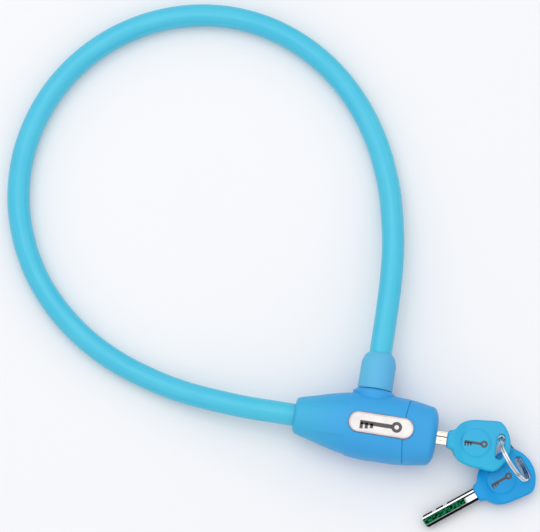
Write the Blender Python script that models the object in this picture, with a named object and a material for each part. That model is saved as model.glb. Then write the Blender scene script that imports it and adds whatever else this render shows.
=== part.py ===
"""Cable lock with its two keys on a split ring.

Frame: +Z up, the lock lies on the plane z = 0. +X runs along the head towards
the keys, +Y along the plug towards the cable loop. The origin is on the flat
underside, below the crossing of the head's axis and the plug's axis. The lock
stands open: the latch plate is drawn back, the plug and one key are in.
"""

import math

import bmesh
import bpy
from mathutils import Matrix, Vector

MM = 0.001

# General
GAP = 0.3 * MM  # between pieces that touch
ROUND = 32  # sides of a large turned piece
SMALL_ROUND = 20  # sides of a small turned piece

# Plug pin and the bush that guides it
PIN_RADIUS = 5.0 * MM
PIN_TIP = -8.0 * MM
PIN_POINT = 2.5 * MM
GROOVE_RADIUS = 3.0 * MM
BUSH_WALL = 1.5 * MM

# Latch plate and the crank that moves it
CRANK_RADIUS = 1.2 * MM
CRANK_THROW = 1.485 * MM
CRANK_LENGTH = 2.1 * MM
LATCH_START = 0.6 * MM
LATCH_THICKNESS = 2.6 * MM
LATCH_TRAVEL = 2.1 * MM
LATCH_HALF_WIDTH = PIN_RADIUS + 2.6 * MM
LATCH_NOTCH = 1.8 * MM
LATCH_SPARE = 0.5 * MM  # between the plate's end and the core

# Lock core
BLADE_RADIUS = 3.4 * MM
BLADE_FLAT = 1.0 * MM  # height of the flat above the blade's axis
DISC_COUNT = 6
DISC_THICKNESS = 2.0 * MM
DISC_WALL = 1.6 * MM
SPACER_THICKNESS = 0.5 * MM
DISC_PITCH = DISC_THICKNESS + SPACER_THICKNESS + 2 * GAP
DISC_RADIUS = BLADE_RADIUS + GAP + DISC_WALL
CORE_WALL = 2.4 * MM
CORE_RADIUS = DISC_RADIUS + GAP + CORE_WALL
CORE_FLOOR = 1.0 * MM
CORE_START = LATCH_HALF_WIDTH + 1.0 * MM
CORE_END = CORE_START + CORE_FLOOR + DISC_COUNT * DISC_PITCH + 0.4 * MM
RETAINER_THICKNESS = 1.3 * MM
FACE_RADIUS = BLADE_RADIUS + 2.1 * MM
SIDEBAR_WIDTH = 2.2 * MM
SIDEBAR_DEPTH = 1.8 * MM
SIDEBAR_INSET = 1.0 * MM  # from the ends of the disc pack

# Inner casting
CASTING_WALL = 3.7 * MM
BODY_RADIUS = CORE_RADIUS + GAP + CASTING_WALL
BODY_START = -(LATCH_HALF_WIDTH + GAP + 3.1 * MM)
BODY_END = CORE_END + 2 * GAP + RETAINER_THICKNESS
TAIL_RADIUS = 7.5 * MM
TAIL_INSET = 7.2 * MM  # from the end of the cover

# Head cover
COVER_WALL = 2.6 * MM  # above and below the casting
SIDE_WALL = 4.9 * MM
HEAD_CABLE_END = 37.8 * MM  # from the plug axis to the end the cable leaves
HEAD_KEY_END = BODY_END + 3.5 * MM  # from the plug axis to the end the key enters
HEAD_HALF_WIDTH = BODY_RADIUS + SIDE_WALL
HEAD_HALF_HEIGHT = BODY_RADIUS + COVER_WALL  # before the underside is cut flat
AXIS_HEIGHT = HEAD_HALF_HEIGHT - 0.6 * MM  # of the head and the plug above the floor
NECK_RADIUS = 8.75 * MM
NECK_ROUNDING = 1.6 * MM
HEAD_SQUARENESS = 2.4  # superellipse exponent of the full section
SHOULDER_START = 6.0 * MM
SHOULDER_DROP = 0.13  # share of the half width lost by the nose
NOSE_LENGTH = 4.0 * MM
NOSE_INSET = 8.0 * MM
SEAM_X = HEAD_KEY_END - 17.0 * MM
SEAM_RADIUS = 71.0 * MM
BOSS_RADIUS = 9.1 * MM
BOSS_END = HEAD_HALF_WIDTH + 1.4 * MM
BEAD_RADIUS = BOSS_RADIUS + 1.8 * MM
BEAD_START = HEAD_HALF_WIDTH - 1.1 * MM
BEAD_END = HEAD_HALF_WIDTH + 0.6 * MM

# Badge
BADGE_LENGTH = 32.8 * MM
BADGE_WIDTH = 10.6 * MM
BADGE_X = 5.7 * MM
BADGE_THICKNESS = 1.0 * MM
BADGE_TOP = AXIS_HEIGHT + HEAD_HALF_HEIGHT + 0.1 * MM

# Plug sleeve and what it holds
SLEEVE_WALL = 1.55 * MM
SLEEVE_ROOM = PIN_RADIUS + 2.2 * MM
SLEEVE_RADIUS = SLEEVE_ROOM + SLEEVE_WALL
SLEEVE_START = BOSS_END + GAP
SEAL_THICKNESS = 1.2 * MM
SEAL_START = SLEEVE_START + GAP / 2
FLANGE_THICKNESS = 1.7 * MM
FLANGE_START = SEAL_START + SEAL_THICKNESS + GAP
CRIMP_LENGTH = 8.7 * MM
CRIMP_START = FLANGE_START + FLANGE_THICKNESS + GAP
CRIMP_END = CRIMP_START + CRIMP_LENGTH
CRIMP_FLOOR = 1.5 * MM
SLEEVE_SHOULDER = SLEEVE_START + 12.9 * MM
SLEEVE_END = SLEEVE_SHOULDER + 5.8 * MM

# Cable
CABLE_RADIUS = 5.65 * MM
ROPE_RADIUS = 3.5 * MM
TAIL_START = TAIL_INSET - HEAD_CABLE_END
CABLE_START = TAIL_START - 2 * GAP  # its end inside the head
CABLE_END = CRIMP_END + 2 * GAP  # its end inside the plug sleeve
CABLE_STEP = 16.0 * MM
CABLE_STRAIGHT = 8.0 * MM  # straight on past the head and past the plug sleeve
FERRULE_WALL = 1.8 * MM
FERRULE_RADIUS = ROPE_RADIUS + FERRULE_WALL
FERRULE_END = BODY_START - 3.3 * MM
CROSS_PIN_RADIUS = 1.2 * MM
CROSS_PIN_X = FERRULE_END - 3.3 * MM
ROPE_END = CROSS_PIN_X - CROSS_PIN_RADIUS - 2.5 * MM  # of the rope in the ferrule
# Places that the cable passes on the floor plan, from the head round to the plug,
# with its height there, in millimetres.
CABLE_ROUTE = (
    (-62.0, 0.2, 13.0),
    (-78.1, 1.4, 10.6),
    (-94.2, 3.4, 8.0),
    (-110.1, 6.9, 6.2),
    (-129.3, 13.1, 5.8),
    (-147.4, 22.3, 5.8),
    (-163.5, 34.6, 5.8),
    (-177.1, 49.9, 5.8),
    (-187.1, 67.8, 5.8),
    (-193.2, 87.5, 5.8),
    (-194.7, 108.0, 5.8),
    (-191.6, 128.4, 5.8),
    (-184.2, 147.6, 5.8),
    (-172.8, 164.7, 5.8),
    (-158.0, 178.8, 5.8),
    (-140.5, 189.4, 5.8),
    (-121.1, 195.9, 5.8),
    (-100.8, 197.9, 5.8),
    (-80.5, 195.2, 5.8),
    (-61.3, 187.9, 5.8),
    (-44.1, 176.6, 5.8),
    (-29.6, 162.0, 5.8),
    (-18.1, 144.9, 5.8),
    (-9.7, 125.9, 6.6),
    (-5.2, 109.7, 8.4),
    (-2.1, 93.2, 10.6),
    (-0.6, 76.6, 12.7),
    (-0.1, 61.0, 13.8),
)

# Keys: places along a key are measured from the middle of its ring slot, with
# the blade towards -X
SHAFT_SHOWING = 5.2 * MM  # between the head and the collar
BLADE_CHAMFER = 1.2 * MM
CUT_DEPTH = 1.1 * MM
CUT_LENGTH = 2.2 * MM
CUT_TURNS = (20.0, 75.0, 40.0, 90.0, 55.0, 30.0)  # degrees about the blade
COLLAR_START = -27.0 * MM
COLLAR_RADIUS = BLADE_RADIUS + 1.15 * MM
BOW_START = -23.2 * MM
BOW_SHOULDER_END = -11.2 * MM
BOW_SHOULDER_HALF_WIDTH = 12.0 * MM
BOW_HALF_WIDTH = 13.0 * MM
BOW_THICKNESS = 4.5 * MM
BOW_END = 5.2 * MM
BOW_END_RADIUS = 15.95 * MM
BOW_ROUNDING = 0.8 * MM
SLOT_HALF_WIDTH = 1.8 * MM
SLOT_HALF_LENGTH = 6.4 * MM
PAD_X = -12.2 * MM
PAD_RADIUS = 7.5 * MM
PAD_HEIGHT = 0.5 * MM
TANG_WIDTH = 6.0 * MM
TANG_THICKNESS = 2.0 * MM
TANG_END = -11.5 * MM
KEY_1_SLOT = Vector((HEAD_KEY_END + SHAFT_SHOWING - COLLAR_START, 0.0, AXIS_HEIGHT))
BLADE_TIP = CORE_START + CORE_FLOOR + GAP - KEY_1_SLOT.x
KEY_2_SLOT = KEY_1_SLOT + Vector((13.1, -7.8, -7.7)) * MM
KEY_2_HEADING = math.radians(37.6)
KEY_2_RISE = math.radians(2.8)

# Split ring
RING_CENTRE = KEY_1_SLOT + Vector((7.5, -4.8, 0.0)) * MM
RING_RADIUS = 12.3 * MM  # to the middle of its wire
RING_HEADING = math.radians(-50.8)  # of the level line in its plane
RING_LEAN = math.radians(18.1)
WIRE_WIDTH = 1.1 * MM
WIRE_THICKNESS = 0.95 * MM
TURN_PITCH = 1.05 * MM
CROSSOVER = math.radians(30.0)
RING_STEPS = 60

ALONG_X = Matrix.Rotation(math.pi / 2, 4, "Y")
ALONG_Y = Matrix.Rotation(-math.pi / 2, 4, "X")
ALONG_Z = Matrix.Identity(4)
AXIS = Matrix.Translation((0.0, 0.0, AXIS_HEIGHT))

BLUE = (0.05, 0.42, 0.72)
CABLE_BLUE = (0.08, 0.55, 0.78)
FROST_BLUE = (0.13, 0.48, 0.74)
KEY_BLUE = (0.03, 0.38, 0.74)
SILVER = (0.80, 0.78, 0.77)
STEEL = (0.55, 0.56, 0.58)
ZINC = (0.48, 0.48, 0.50)
BRASS = (0.72, 0.55, 0.25)
BLACK = (0.02, 0.02, 0.02)


# ---- Tools -------------------------------------------------------------------


def clear_scene():
    for obj in list(bpy.data.objects):
        bpy.data.objects.remove(obj)


def material(name, colour, roughness, metallic=0.0):
    made = bpy.data.materials.new(name)
    made.use_nodes = True
    shader = made.node_tree.nodes["Principled BSDF"]
    shader.inputs["Base Color"].default_value = (*colour, 1.0)
    shader.inputs["Roughness"].default_value = roughness
    shader.inputs["Metallic"].default_value = metallic
    return made


def add_object(name, data):
    obj = bpy.data.objects.new(name, data)
    bpy.context.scene.collection.objects.link(obj)
    return obj


def from_bmesh(name, bm, placing):
    bmesh.ops.recalc_face_normals(bm, faces=bm.faces)
    bm.transform(placing)
    mesh = bpy.data.meshes.new(name)
    bm.to_mesh(mesh)
    bm.free()
    mesh.shade_smooth()
    mesh.set_sharp_from_angle(angle=math.radians(35))
    return add_object(name, mesh)


def as_cutter(obj):
    obj.hide_render = True
    obj.display_type = "WIRE"
    return obj


def finish(obj, look):
    obj.data.materials.append(look)
    return obj


def turned(name, profile, placing, sides=ROUND, ring=False):
    """A turned piece from (radius, place along the axis) pairs."""
    bm = bmesh.new()
    verts = [bm.verts.new((radius, 0.0, place)) for radius, place in profile]
    chain = verts + verts[:1] if ring else verts
    edges = [bm.edges.new(pair) for pair in zip(chain, chain[1:])]
    bmesh.ops.spin(
        bm,
        geom=verts + edges,
        axis=(0.0, 0.0, 1.0),
        cent=(0.0, 0.0, 0.0),
        angle=math.tau,
        steps=sides,
        use_merge=True,
    )
    bmesh.ops.remove_doubles(bm, verts=bm.verts, dist=1e-7)
    return from_bmesh(name, bm, placing)


def rod(name, radius, start, end, placing, sides=ROUND, chamfer=0.0):
    """A solid round piece, with its two rims chamfered if asked."""
    if chamfer:
        rims = ((radius - chamfer, start), (radius, start + chamfer))
        rims += ((radius, end - chamfer), (radius - chamfer, end))
    else:
        rims = ((radius, start), (radius, end))
    return turned(name, ((0.0, start), *rims, (0.0, end)), placing, sides)


def tube(name, inner, outer, start, end, placing, sides=ROUND):
    profile = ((inner, start), (outer, start), (outer, end), (inner, end))
    return turned(name, profile, placing, sides, ring=True)


def block(name, low, high, placing=ALONG_Z):
    bm = bmesh.new()
    bmesh.ops.create_cube(bm, size=1.0)
    size = Vector(high) - Vector(low)
    middle = (Vector(high) + Vector(low)) / 2
    bm.transform(Matrix.Translation(middle) @ Matrix.Diagonal((*size, 1.0)))
    return from_bmesh(name, bm, placing)


def slab(name, outline, low, high, placing=ALONG_Z, rounding=0.0):
    """An outline in the XY plane, extruded from one height to another."""
    bm = bmesh.new()
    face = bm.faces.new([bm.verts.new((x, y, low)) for x, y in outline])
    grown = bmesh.ops.extrude_face_region(bm, geom=[face])["geom"]
    lifted = [item for item in grown if isinstance(item, bmesh.types.BMVert)]
    bmesh.ops.translate(bm, verts=lifted, vec=(0.0, 0.0, high - low))
    if rounding:
        rims = [edge for edge in bm.edges if abs(edge.verts[0].co.z - edge.verts[1].co.z) < 1e-9]
        bmesh.ops.bevel(
            bm,
            geom=rims,
            offset=rounding,
            offset_type="OFFSET",
            segments=2,
            profile=0.5,
            affect="EDGES",
            clamp_overlap=True,
            material=-1,
        )
    return from_bmesh(name, bm, placing)


def stadium(half_length, half_width, steps=8):
    """Points of a stadium along X."""
    points = []
    straight = half_length - half_width
    for side, start in ((1, -math.pi / 2), (-1, math.pi / 2)):
        for step in range(steps + 1):
            angle = start + math.pi * step / steps
            x = side * straight + half_width * math.cos(angle)
            points.append((x, half_width * math.sin(angle)))
    return points


def boolean(obj, other, operation):
    modifier = obj.modifiers.new(f"{operation.lower()} {other.name}", "BOOLEAN")
    modifier.operation = operation
    modifier.solver = "EXACT"
    modifier.object = other


def cut(obj, *cutters):
    for cutter in cutters:
        boolean(obj, as_cutter(cutter), "DIFFERENCE")


def join(obj, *others):
    for other in others:
        boolean(obj, as_cutter(other), "UNION")


def pivot(name, place):
    empty = add_object(name, None)
    empty.location = place
    empty.empty_display_size = 5 * MM
    return empty


def hang_on(empty, *objects):
    """Parents objects to an empty and leaves them where they are."""
    bpy.context.view_layer.update()
    for obj in objects:
        obj.parent = empty
        obj.matrix_parent_inverse = empty.matrix_world.inverted()


# ---- Head cover --------------------------------------------------------------


def head_half_size(x, full):
    """Half width or half height of the head at a place along it."""
    if x <= 0.0:
        along = (x + HEAD_CABLE_END) / HEAD_CABLE_END
        half = NECK_RADIUS + (full - NECK_RADIUS) * math.sin(math.pi / 2 * along)
        into_end = NECK_ROUNDING - (x + HEAD_CABLE_END)
        if into_end > 0.0:
            half -= NECK_ROUNDING - math.sqrt(NECK_ROUNDING**2 - into_end**2)
        return half
    past = max(0.0, x - SHOULDER_START) / (HEAD_KEY_END - NOSE_LENGTH - SHOULDER_START)
    half = full * (1.0 - SHOULDER_DROP * min(past, 1.0) ** 2)
    into_nose = (x - (HEAD_KEY_END - NOSE_LENGTH)) / NOSE_LENGTH
    if into_nose > 0.0:
        half -= NOSE_INSET * (1.0 - math.sqrt(max(0.0, 1.0 - into_nose**2)))
    return half


def head_places():
    """Where the head's sections stand, closer together at its round ends."""
    ends = [(1.0 - math.cos(math.pi / 2 * i / 4)) for i in range(5)]
    places = [-HEAD_CABLE_END + NECK_ROUNDING * share for share in ends]
    first = -HEAD_CABLE_END + NECK_ROUNDING
    places += [first * (1.0 - i / 7) for i in range(1, 8)]
    last = HEAD_KEY_END - NOSE_LENGTH
    places += [last * i / 5 for i in range(1, 6)]
    places += [last + NOSE_LENGTH * math.sin(math.pi / 2 * i / 6) for i in range(1, 7)]
    return places


def head_form(name):
    """The head's outer form, lofted through superellipse sections."""
    bm = bmesh.new()
    rings = []
    for x in head_places():
        fullness = min(1.0, max(0.0, (x + HEAD_CABLE_END) / HEAD_CABLE_END))
        power = 2.0 / (2.0 + (HEAD_SQUARENESS - 2.0) * fullness)
        half_width = head_half_size(x, HEAD_HALF_WIDTH)
        half_height = head_half_size(x, HEAD_HALF_HEIGHT)
        ring = []
        for step in range(ROUND):
            angle = math.tau * step / ROUND
            c = math.cos(angle)
            s = math.sin(angle)
            y = half_width * math.copysign(abs(c) ** power, c)
            z = half_height * math.copysign(abs(s) ** power, s)
            ring.append(bm.verts.new((x, y, AXIS_HEIGHT + z)))
        rings.append(ring)
    for ring, after in zip(rings, rings[1:]):
        for i in range(ROUND):
            j = (i + 1) % ROUND
            bm.faces.new((ring[i], ring[j], after[j], after[i]))
    bm.faces.new(rings[0])
    bm.faces.new(rings[-1])
    return from_bmesh(name, bm, ALONG_Z)


def body_pocket():
    """The hollow in the cover: the casting's room, the cable's hole, the key's hole."""
    wide = BODY_RADIUS + GAP
    narrow = TAIL_RADIUS + GAP
    cable_hole = CABLE_RADIUS + GAP
    key_hole = FACE_RADIUS + GAP
    profile = (
        (0.0, -HEAD_CABLE_END - 5 * MM),
        (cable_hole, -HEAD_CABLE_END - 5 * MM),
        (cable_hole, TAIL_START - GAP),
        (narrow, TAIL_START - GAP),
        (narrow, BODY_START - GAP),
        (wide, BODY_START - GAP),
        (wide, BODY_END + GAP),
        (key_hole, BODY_END + GAP),
        (key_hole, HEAD_KEY_END + 5 * MM),
        (0.0, HEAD_KEY_END + 5 * MM),
    )
    return turned("cutter_body_pocket", profile, AXIS @ ALONG_X)


def seam_cylinder(name, radius):
    """A tall cylinder whose near side is the seam between cover and cap."""
    placing = Matrix.Translation((SEAM_X + SEAM_RADIUS, 0.0, 0.0))
    height = 4 * HEAD_HALF_HEIGHT
    return rod(name, radius, -height, height, placing, sides=180)


def boss_form():
    profile = (
        (0.0, BODY_RADIUS / 2),
        (BEAD_RADIUS - 0.9 * MM, BODY_RADIUS / 2),
        (BEAD_RADIUS - 0.9 * MM, BEAD_START - 0.4 * MM),
        (BEAD_RADIUS, BEAD_START + 0.3 * MM),
        (BEAD_RADIUS, BEAD_END - 0.7 * MM),
        (BEAD_RADIUS - 0.7 * MM, BEAD_END),
        (BOSS_RADIUS, BEAD_END + 0.2 * MM),
        (BOSS_RADIUS, BOSS_END - 0.3 * MM),
        (BOSS_RADIUS - 0.3 * MM, BOSS_END),
        (0.0, BOSS_END),
    )
    return turned("form_boss", profile, AXIS @ ALONG_Y)


def floor_cutter():
    far = 4 * HEAD_CABLE_END
    return block("cutter_floor", (-far, -far, -far), (far, far, 0.0))


def badge_recess():
    outline = stadium(BADGE_LENGTH / 2 + GAP, BADGE_WIDTH / 2 + GAP)
    low = BADGE_TOP - BADGE_THICKNESS - GAP
    placing = Matrix.Translation((BADGE_X, 0.0, 0.0))
    return slab("cutter_badge", outline, low, BADGE_TOP + 5 * MM, placing)


def make_cover(look):
    """The two halves of the head's plastic cover, parted at the curved seam."""
    floor = floor_cutter()
    pocket = body_pocket()
    recess = badge_recess()
    bush_room = PIN_RADIUS + GAP + BUSH_WALL + GAP
    passage = rod("cutter_plug_passage", bush_room, 0.0, BOSS_END + 5 * MM, AXIS @ ALONG_Y)
    main = head_form("cover_main")
    join(main, boss_form())
    cut(main, floor, seam_cylinder("cutter_seam", SEAM_RADIUS + GAP), recess, pocket, passage)
    cap = head_form("cover_cap")
    boolean(cap, as_cutter(seam_cylinder("form_cap", SEAM_RADIUS)), "INTERSECT")
    cut(cap, floor, recess, pocket)
    return finish(main, look), finish(cap, look)


def make_badge(look):
    outline = stadium(BADGE_LENGTH / 2, BADGE_WIDTH / 2)
    placing = Matrix.Translation((BADGE_X, 0.0, 0.0))
    low = BADGE_TOP - BADGE_THICKNESS
    return finish(slab("badge_plate", outline, low, BADGE_TOP, placing), look)


# ---- Casting and cable end ---------------------------------------------------


def crank_place():
    """Centre of the crank pin across the core's axis, with the lock open."""
    reach = CRANK_THROW * math.sqrt(0.5)
    return reach, AXIS_HEIGHT + reach


def latch_chamber():
    half = LATCH_HALF_WIDTH + GAP
    low = (-half, LATCH_START - GAP, AXIS_HEIGHT - half - LATCH_TRAVEL)
    high = (CORE_START, LATCH_START + LATCH_THICKNESS + GAP, AXIS_HEIGHT + half)
    return block("cutter_latch_chamber", low, high)


def make_inner_body(look):
    profile = (
        (0.0, TAIL_START),
        (TAIL_RADIUS, TAIL_START),
        (TAIL_RADIUS, BODY_START),
        (BODY_RADIUS, BODY_START),
        (BODY_RADIUS, BODY_END),
        (0.0, BODY_END),
    )
    body = turned("inner_body", profile, AXIS @ ALONG_X)
    core_bore = rod(
        "cutter_core_bore", CORE_RADIUS + GAP, CORE_START - GAP, BODY_END + MM, AXIS @ ALONG_X
    )
    crank_bore = rod(
        "cutter_crank_bore",
        CRANK_THROW + CRANK_RADIUS + GAP,
        CORE_START - CRANK_LENGTH - GAP,
        CORE_START,
        AXIS @ ALONG_X,
        SMALL_ROUND,
    )
    plug_bore = rod(
        "cutter_plug_bore",
        PIN_RADIUS + GAP,
        PIN_TIP - 2 * GAP,
        BODY_RADIUS + MM,
        AXIS @ ALONG_Y,
    )
    ferrule_bore = rod(
        "cutter_ferrule_bore",
        FERRULE_RADIUS + GAP,
        TAIL_START - MM,
        FERRULE_END + GAP,
        AXIS @ ALONG_X,
    )
    cut(body, core_bore, crank_bore, plug_bore, ferrule_bore)
    cut(body, latch_chamber(), cross_pin_hole())
    return finish(body, look)


def cross_pin_hole():
    placing = AXIS @ Matrix.Translation((CROSS_PIN_X, 0.0, 0.0))
    reach = TAIL_RADIUS + MM
    return rod("cutter_cross_pin", CROSS_PIN_RADIUS + GAP, -reach, reach, placing, SMALL_ROUND)


def make_cable_anchor(metal, steel):
    """The ferrule on the cable's fixed end, its cross pin and the bare rope in it."""
    hole = ROPE_RADIUS + GAP
    start = TAIL_START + GAP
    profile = (
        (hole, start),
        (FERRULE_RADIUS, start),
        (FERRULE_RADIUS, FERRULE_END),
        (0.0, FERRULE_END),
        (0.0, ROPE_END + GAP),
        (hole, ROPE_END + GAP),
    )
    ferrule = turned("fixed_ferrule", profile + profile[:1], AXIS @ ALONG_X)
    placing = AXIS @ Matrix.Translation((CROSS_PIN_X, 0.0, 0.0))
    reach = TAIL_RADIUS - GAP
    boolean(ferrule, bpy.data.objects["cutter_cross_pin"], "DIFFERENCE")
    pin = rod("cross_pin", CROSS_PIN_RADIUS, -reach, reach, placing, SMALL_ROUND, 0.3 * MM)
    rope = rod(
        "rope_end_head", ROPE_RADIUS, CABLE_START + GAP, ROPE_END, AXIS @ ALONG_X, SMALL_ROUND
    )
    return finish(ferrule, metal), finish(pin, steel), finish(rope, steel)


# ---- Lock core ---------------------------------------------------------------


def flat_round(radius, flat, steps=20):
    """Points of a circle with one flat side, across the key's axis: (y, z)."""
    reach = math.asin(flat / radius)
    sweep = math.pi + 2 * reach
    points = []
    for step in range(steps + 1):
        angle = reach - sweep * step / steps
        points.append((radius * math.cos(angle), radius * math.sin(angle)))
    return points


def keyway(name, start, end):
    """A hole for the blade, with clearance all round."""
    outline = flat_round(BLADE_RADIUS + GAP, BLADE_FLAT + GAP)
    placing = AXIS @ Matrix.Translation((start, 0.0, 0.0)) @ ACROSS_X
    return slab(name, outline, 0.0, end - start, placing)


# Turns an outline drawn in XY to stand across the X axis, its y upwards
ACROSS_X = Matrix(((0, 0, 1, 0), (1, 0, 0, 0), (0, 1, 0, 0), (0, 0, 0, 1)))


def make_core(metal, steel, brass):
    """The turning core: barrel with its crank, face, discs, spacers and sidebar."""
    placing = AXIS @ ALONG_X
    room = CORE_RADIUS - CORE_WALL
    floor_end = CORE_START + CORE_FLOOR
    profile = (
        (0.0, CORE_START),
        (CORE_RADIUS, CORE_START),
        (CORE_RADIUS, CORE_END),
        (room, CORE_END),
        (room, floor_end),
        (0.0, floor_end),
    )
    barrel = turned("core_barrel", profile, placing)
    y, z = crank_place()
    crank = rod(
        "form_crank",
        CRANK_RADIUS,
        CORE_START - CRANK_LENGTH,
        CORE_START + CORE_FLOOR / 2,
        Matrix.Translation((0.0, y, z)) @ ALONG_X,
        SMALL_ROUND,
    )
    join(barrel, crank)
    bar_start = floor_end + SIDEBAR_INSET
    bar_end = CORE_END - SIDEBAR_INSET - GAP
    bar_low = AXIS_HEIGHT + DISC_RADIUS + 2 * GAP
    half = SIDEBAR_WIDTH / 2
    slot = block(
        "cutter_sidebar",
        (bar_start - GAP, -half - GAP, AXIS_HEIGHT + DISC_RADIUS),
        (bar_end + GAP, half + GAP, AXIS_HEIGHT + CORE_RADIUS + MM),
    )
    cut(barrel, slot)
    bar = block(
        "sidebar", (bar_start, -half, bar_low), (bar_end, half, bar_low + SIDEBAR_DEPTH)
    )
    hole = as_cutter(keyway("cutter_keyway", CORE_START, HEAD_KEY_END + 5 * MM))
    face = rod("core_face", FACE_RADIUS, CORE_END + GAP, HEAD_KEY_END - GAP, placing)
    cut(face, hole)
    made = [finish(barrel, brass), finish(face, steel), finish(bar, steel)]
    for i in range(DISC_COUNT):
        start = floor_end + GAP + i * DISC_PITCH
        disc = rod(f"disc_{i + 1}", DISC_RADIUS, start, start + DISC_THICKNESS, placing, 24)
        cut(disc, hole)
        made.append(finish(disc, brass))
        if i == DISC_COUNT - 1:
            continue
        start += DISC_THICKNESS + GAP
        inner = BLADE_RADIUS + 2 * GAP
        spacer = tube(
            f"spacer_{i + 1}", inner, DISC_RADIUS, start, start + SPACER_THICKNESS, placing, 24
        )
        made.append(finish(spacer, steel))
    return made


def make_retainer(look):
    """The ring pressed in behind the cap, which keeps the core in."""
    start = CORE_END + GAP
    inner = FACE_RADIUS + GAP
    ring = tube(
        "core_retainer", inner, CORE_RADIUS, start, start + RETAINER_THICKNESS, AXIS @ ALONG_X
    )
    return finish(ring, look)


def make_latch_plate(look):
    """The plate round the plug pin, moved by the crank in its open notch."""
    half = LATCH_HALF_WIDTH
    end = CORE_START - LATCH_SPARE
    low = (-half, LATCH_START, AXIS_HEIGHT - half)
    plate = block("latch_plate", low, (end, LATCH_START + LATCH_THICKNESS, AXIS_HEIGHT + half))
    hole = rod("cutter_latch_hole", PIN_RADIUS + GAP, PIN_TIP, BOSS_END, AXIS @ ALONG_Y)
    z = crank_place()[1]
    reach = CRANK_RADIUS + GAP
    notch = block(
        "cutter_latch_notch",
        (end - LATCH_NOTCH, LATCH_START - MM, z - reach),
        (end + MM, LATCH_START + LATCH_THICKNESS + MM, z + reach),
    )
    cut(plate, hole, notch)
    return finish(plate, look)


# ---- Plug --------------------------------------------------------------------


def make_bush(look):
    inner = PIN_RADIUS + GAP
    start = BODY_RADIUS + 2 * GAP
    bush = tube(
        "socket_bush", inner, inner + BUSH_WALL, start, BOSS_END - GAP, AXIS @ ALONG_Y
    )
    return finish(bush, look)


def make_plug(frost, steel, metal, rubber):
    """The plug on the cable's loose end: pin, seal, crimp, bare rope and sleeve."""
    placing = AXIS @ ALONG_Y
    inside = SLEEVE_ROOM - GAP
    flange_end = FLANGE_START + FLANGE_THICKNESS
    groove_start = LATCH_START - GAP
    groove_end = LATCH_START + LATCH_THICKNESS + GAP
    pin_profile = (
        (0.0, PIN_TIP),
        (PIN_RADIUS - PIN_POINT, PIN_TIP),
        (PIN_RADIUS, PIN_TIP + PIN_POINT),
        (PIN_RADIUS, groove_start),
        (GROOVE_RADIUS, groove_start),
        (GROOVE_RADIUS, groove_end),
        (PIN_RADIUS, groove_end),
        (PIN_RADIUS, FLANGE_START),
        (inside, FLANGE_START),
        (inside, flange_end),
        (0.0, flange_end),
    )
    pin = turned("plug_pin", pin_profile, placing)
    seal = tube(
        "plug_seal", PIN_RADIUS + GAP, inside, SEAL_START, SEAL_START + SEAL_THICKNESS, placing
    )
    rope_start = CRIMP_START + CRIMP_FLOOR
    hole = ROPE_RADIUS + GAP
    crimp_profile = (
        (0.0, CRIMP_START),
        (inside, CRIMP_START),
        (inside, CRIMP_END),
        (hole, CRIMP_END),
        (hole, rope_start - GAP),
        (0.0, rope_start - GAP),
    )
    crimp = turned("plug_crimp", crimp_profile, placing)
    rope = rod("rope_end_plug", ROPE_RADIUS, rope_start, CABLE_END - GAP, placing, SMALL_ROUND)
    cable_hole = CABLE_RADIUS + GAP
    sleeve_profile = (
        (SLEEVE_ROOM, SLEEVE_START),
        (SLEEVE_RADIUS - 0.3 * MM, SLEEVE_START),
        (SLEEVE_RADIUS, SLEEVE_START + 0.3 * MM),
        (SLEEVE_RADIUS, SLEEVE_SHOULDER),
        (SLEEVE_RADIUS - 0.35 * MM, SLEEVE_SHOULDER + 2.0 * MM),
        (SLEEVE_RADIUS - 1.3 * MM, SLEEVE_END - 1.4 * MM),
        (CABLE_RADIUS + 0.8 * MM, SLEEVE_END),
        (cable_hole, SLEEVE_END),
        (cable_hole, CRIMP_END + GAP),
        (SLEEVE_ROOM, CRIMP_END + GAP),
    )
    sleeve = turned("plug_sleeve", sleeve_profile, placing, ring=True)
    return (
        finish(pin, steel),
        finish(seal, rubber),
        finish(crimp, metal),
        finish(rope, steel),
        finish(sleeve, frost),
    )


# ---- Cable -------------------------------------------------------------------


def smooth_path(points, step):
    """Evenly spaced places on a smooth curve through the given points."""
    padded = [2 * points[0] - points[1], *points, 2 * points[-1] - points[-2]]
    fine = []
    for a, b, c, d in zip(padded, padded[1:], padded[2:], padded[3:]):
        for i in range(24):
            t = i / 24
            bend = (2 * a - 5 * b + 4 * c - d) * t * t + (3 * b - a - 3 * c + d) * t**3
            fine.append(b + ((c - a) * t + bend) / 2)
    fine.append(points[-1])
    lengths = [0.0]
    for p, q in zip(fine, fine[1:]):
        lengths.append(lengths[-1] + (q - p).length)
    count = max(2, round(lengths[-1] / step))
    places = []
    k = 0
    for i in range(count + 1):
        target = lengths[-1] * i / count
        while k < len(lengths) - 2 and lengths[k + 1] < target:
            k += 1
        share = (target - lengths[k]) / (lengths[k + 1] - lengths[k])
        places.append(fine[k].lerp(fine[k + 1], min(1.0, share)))
    return places


def cable_points():
    """The whole route: out of the head, round the loop and into the plug."""
    head_side = (CABLE_START, -HEAD_CABLE_END, -HEAD_CABLE_END - CABLE_STRAIGHT)
    plug_side = (SLEEVE_END + CABLE_STRAIGHT, SLEEVE_END, CABLE_END)
    start = [Vector((x, 0.0, AXIS_HEIGHT)) for x in head_side]
    end = [Vector((0.0, y, AXIS_HEIGHT)) for y in plug_side]
    return start + [Vector(place) * MM for place in CABLE_ROUTE] + end


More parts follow.
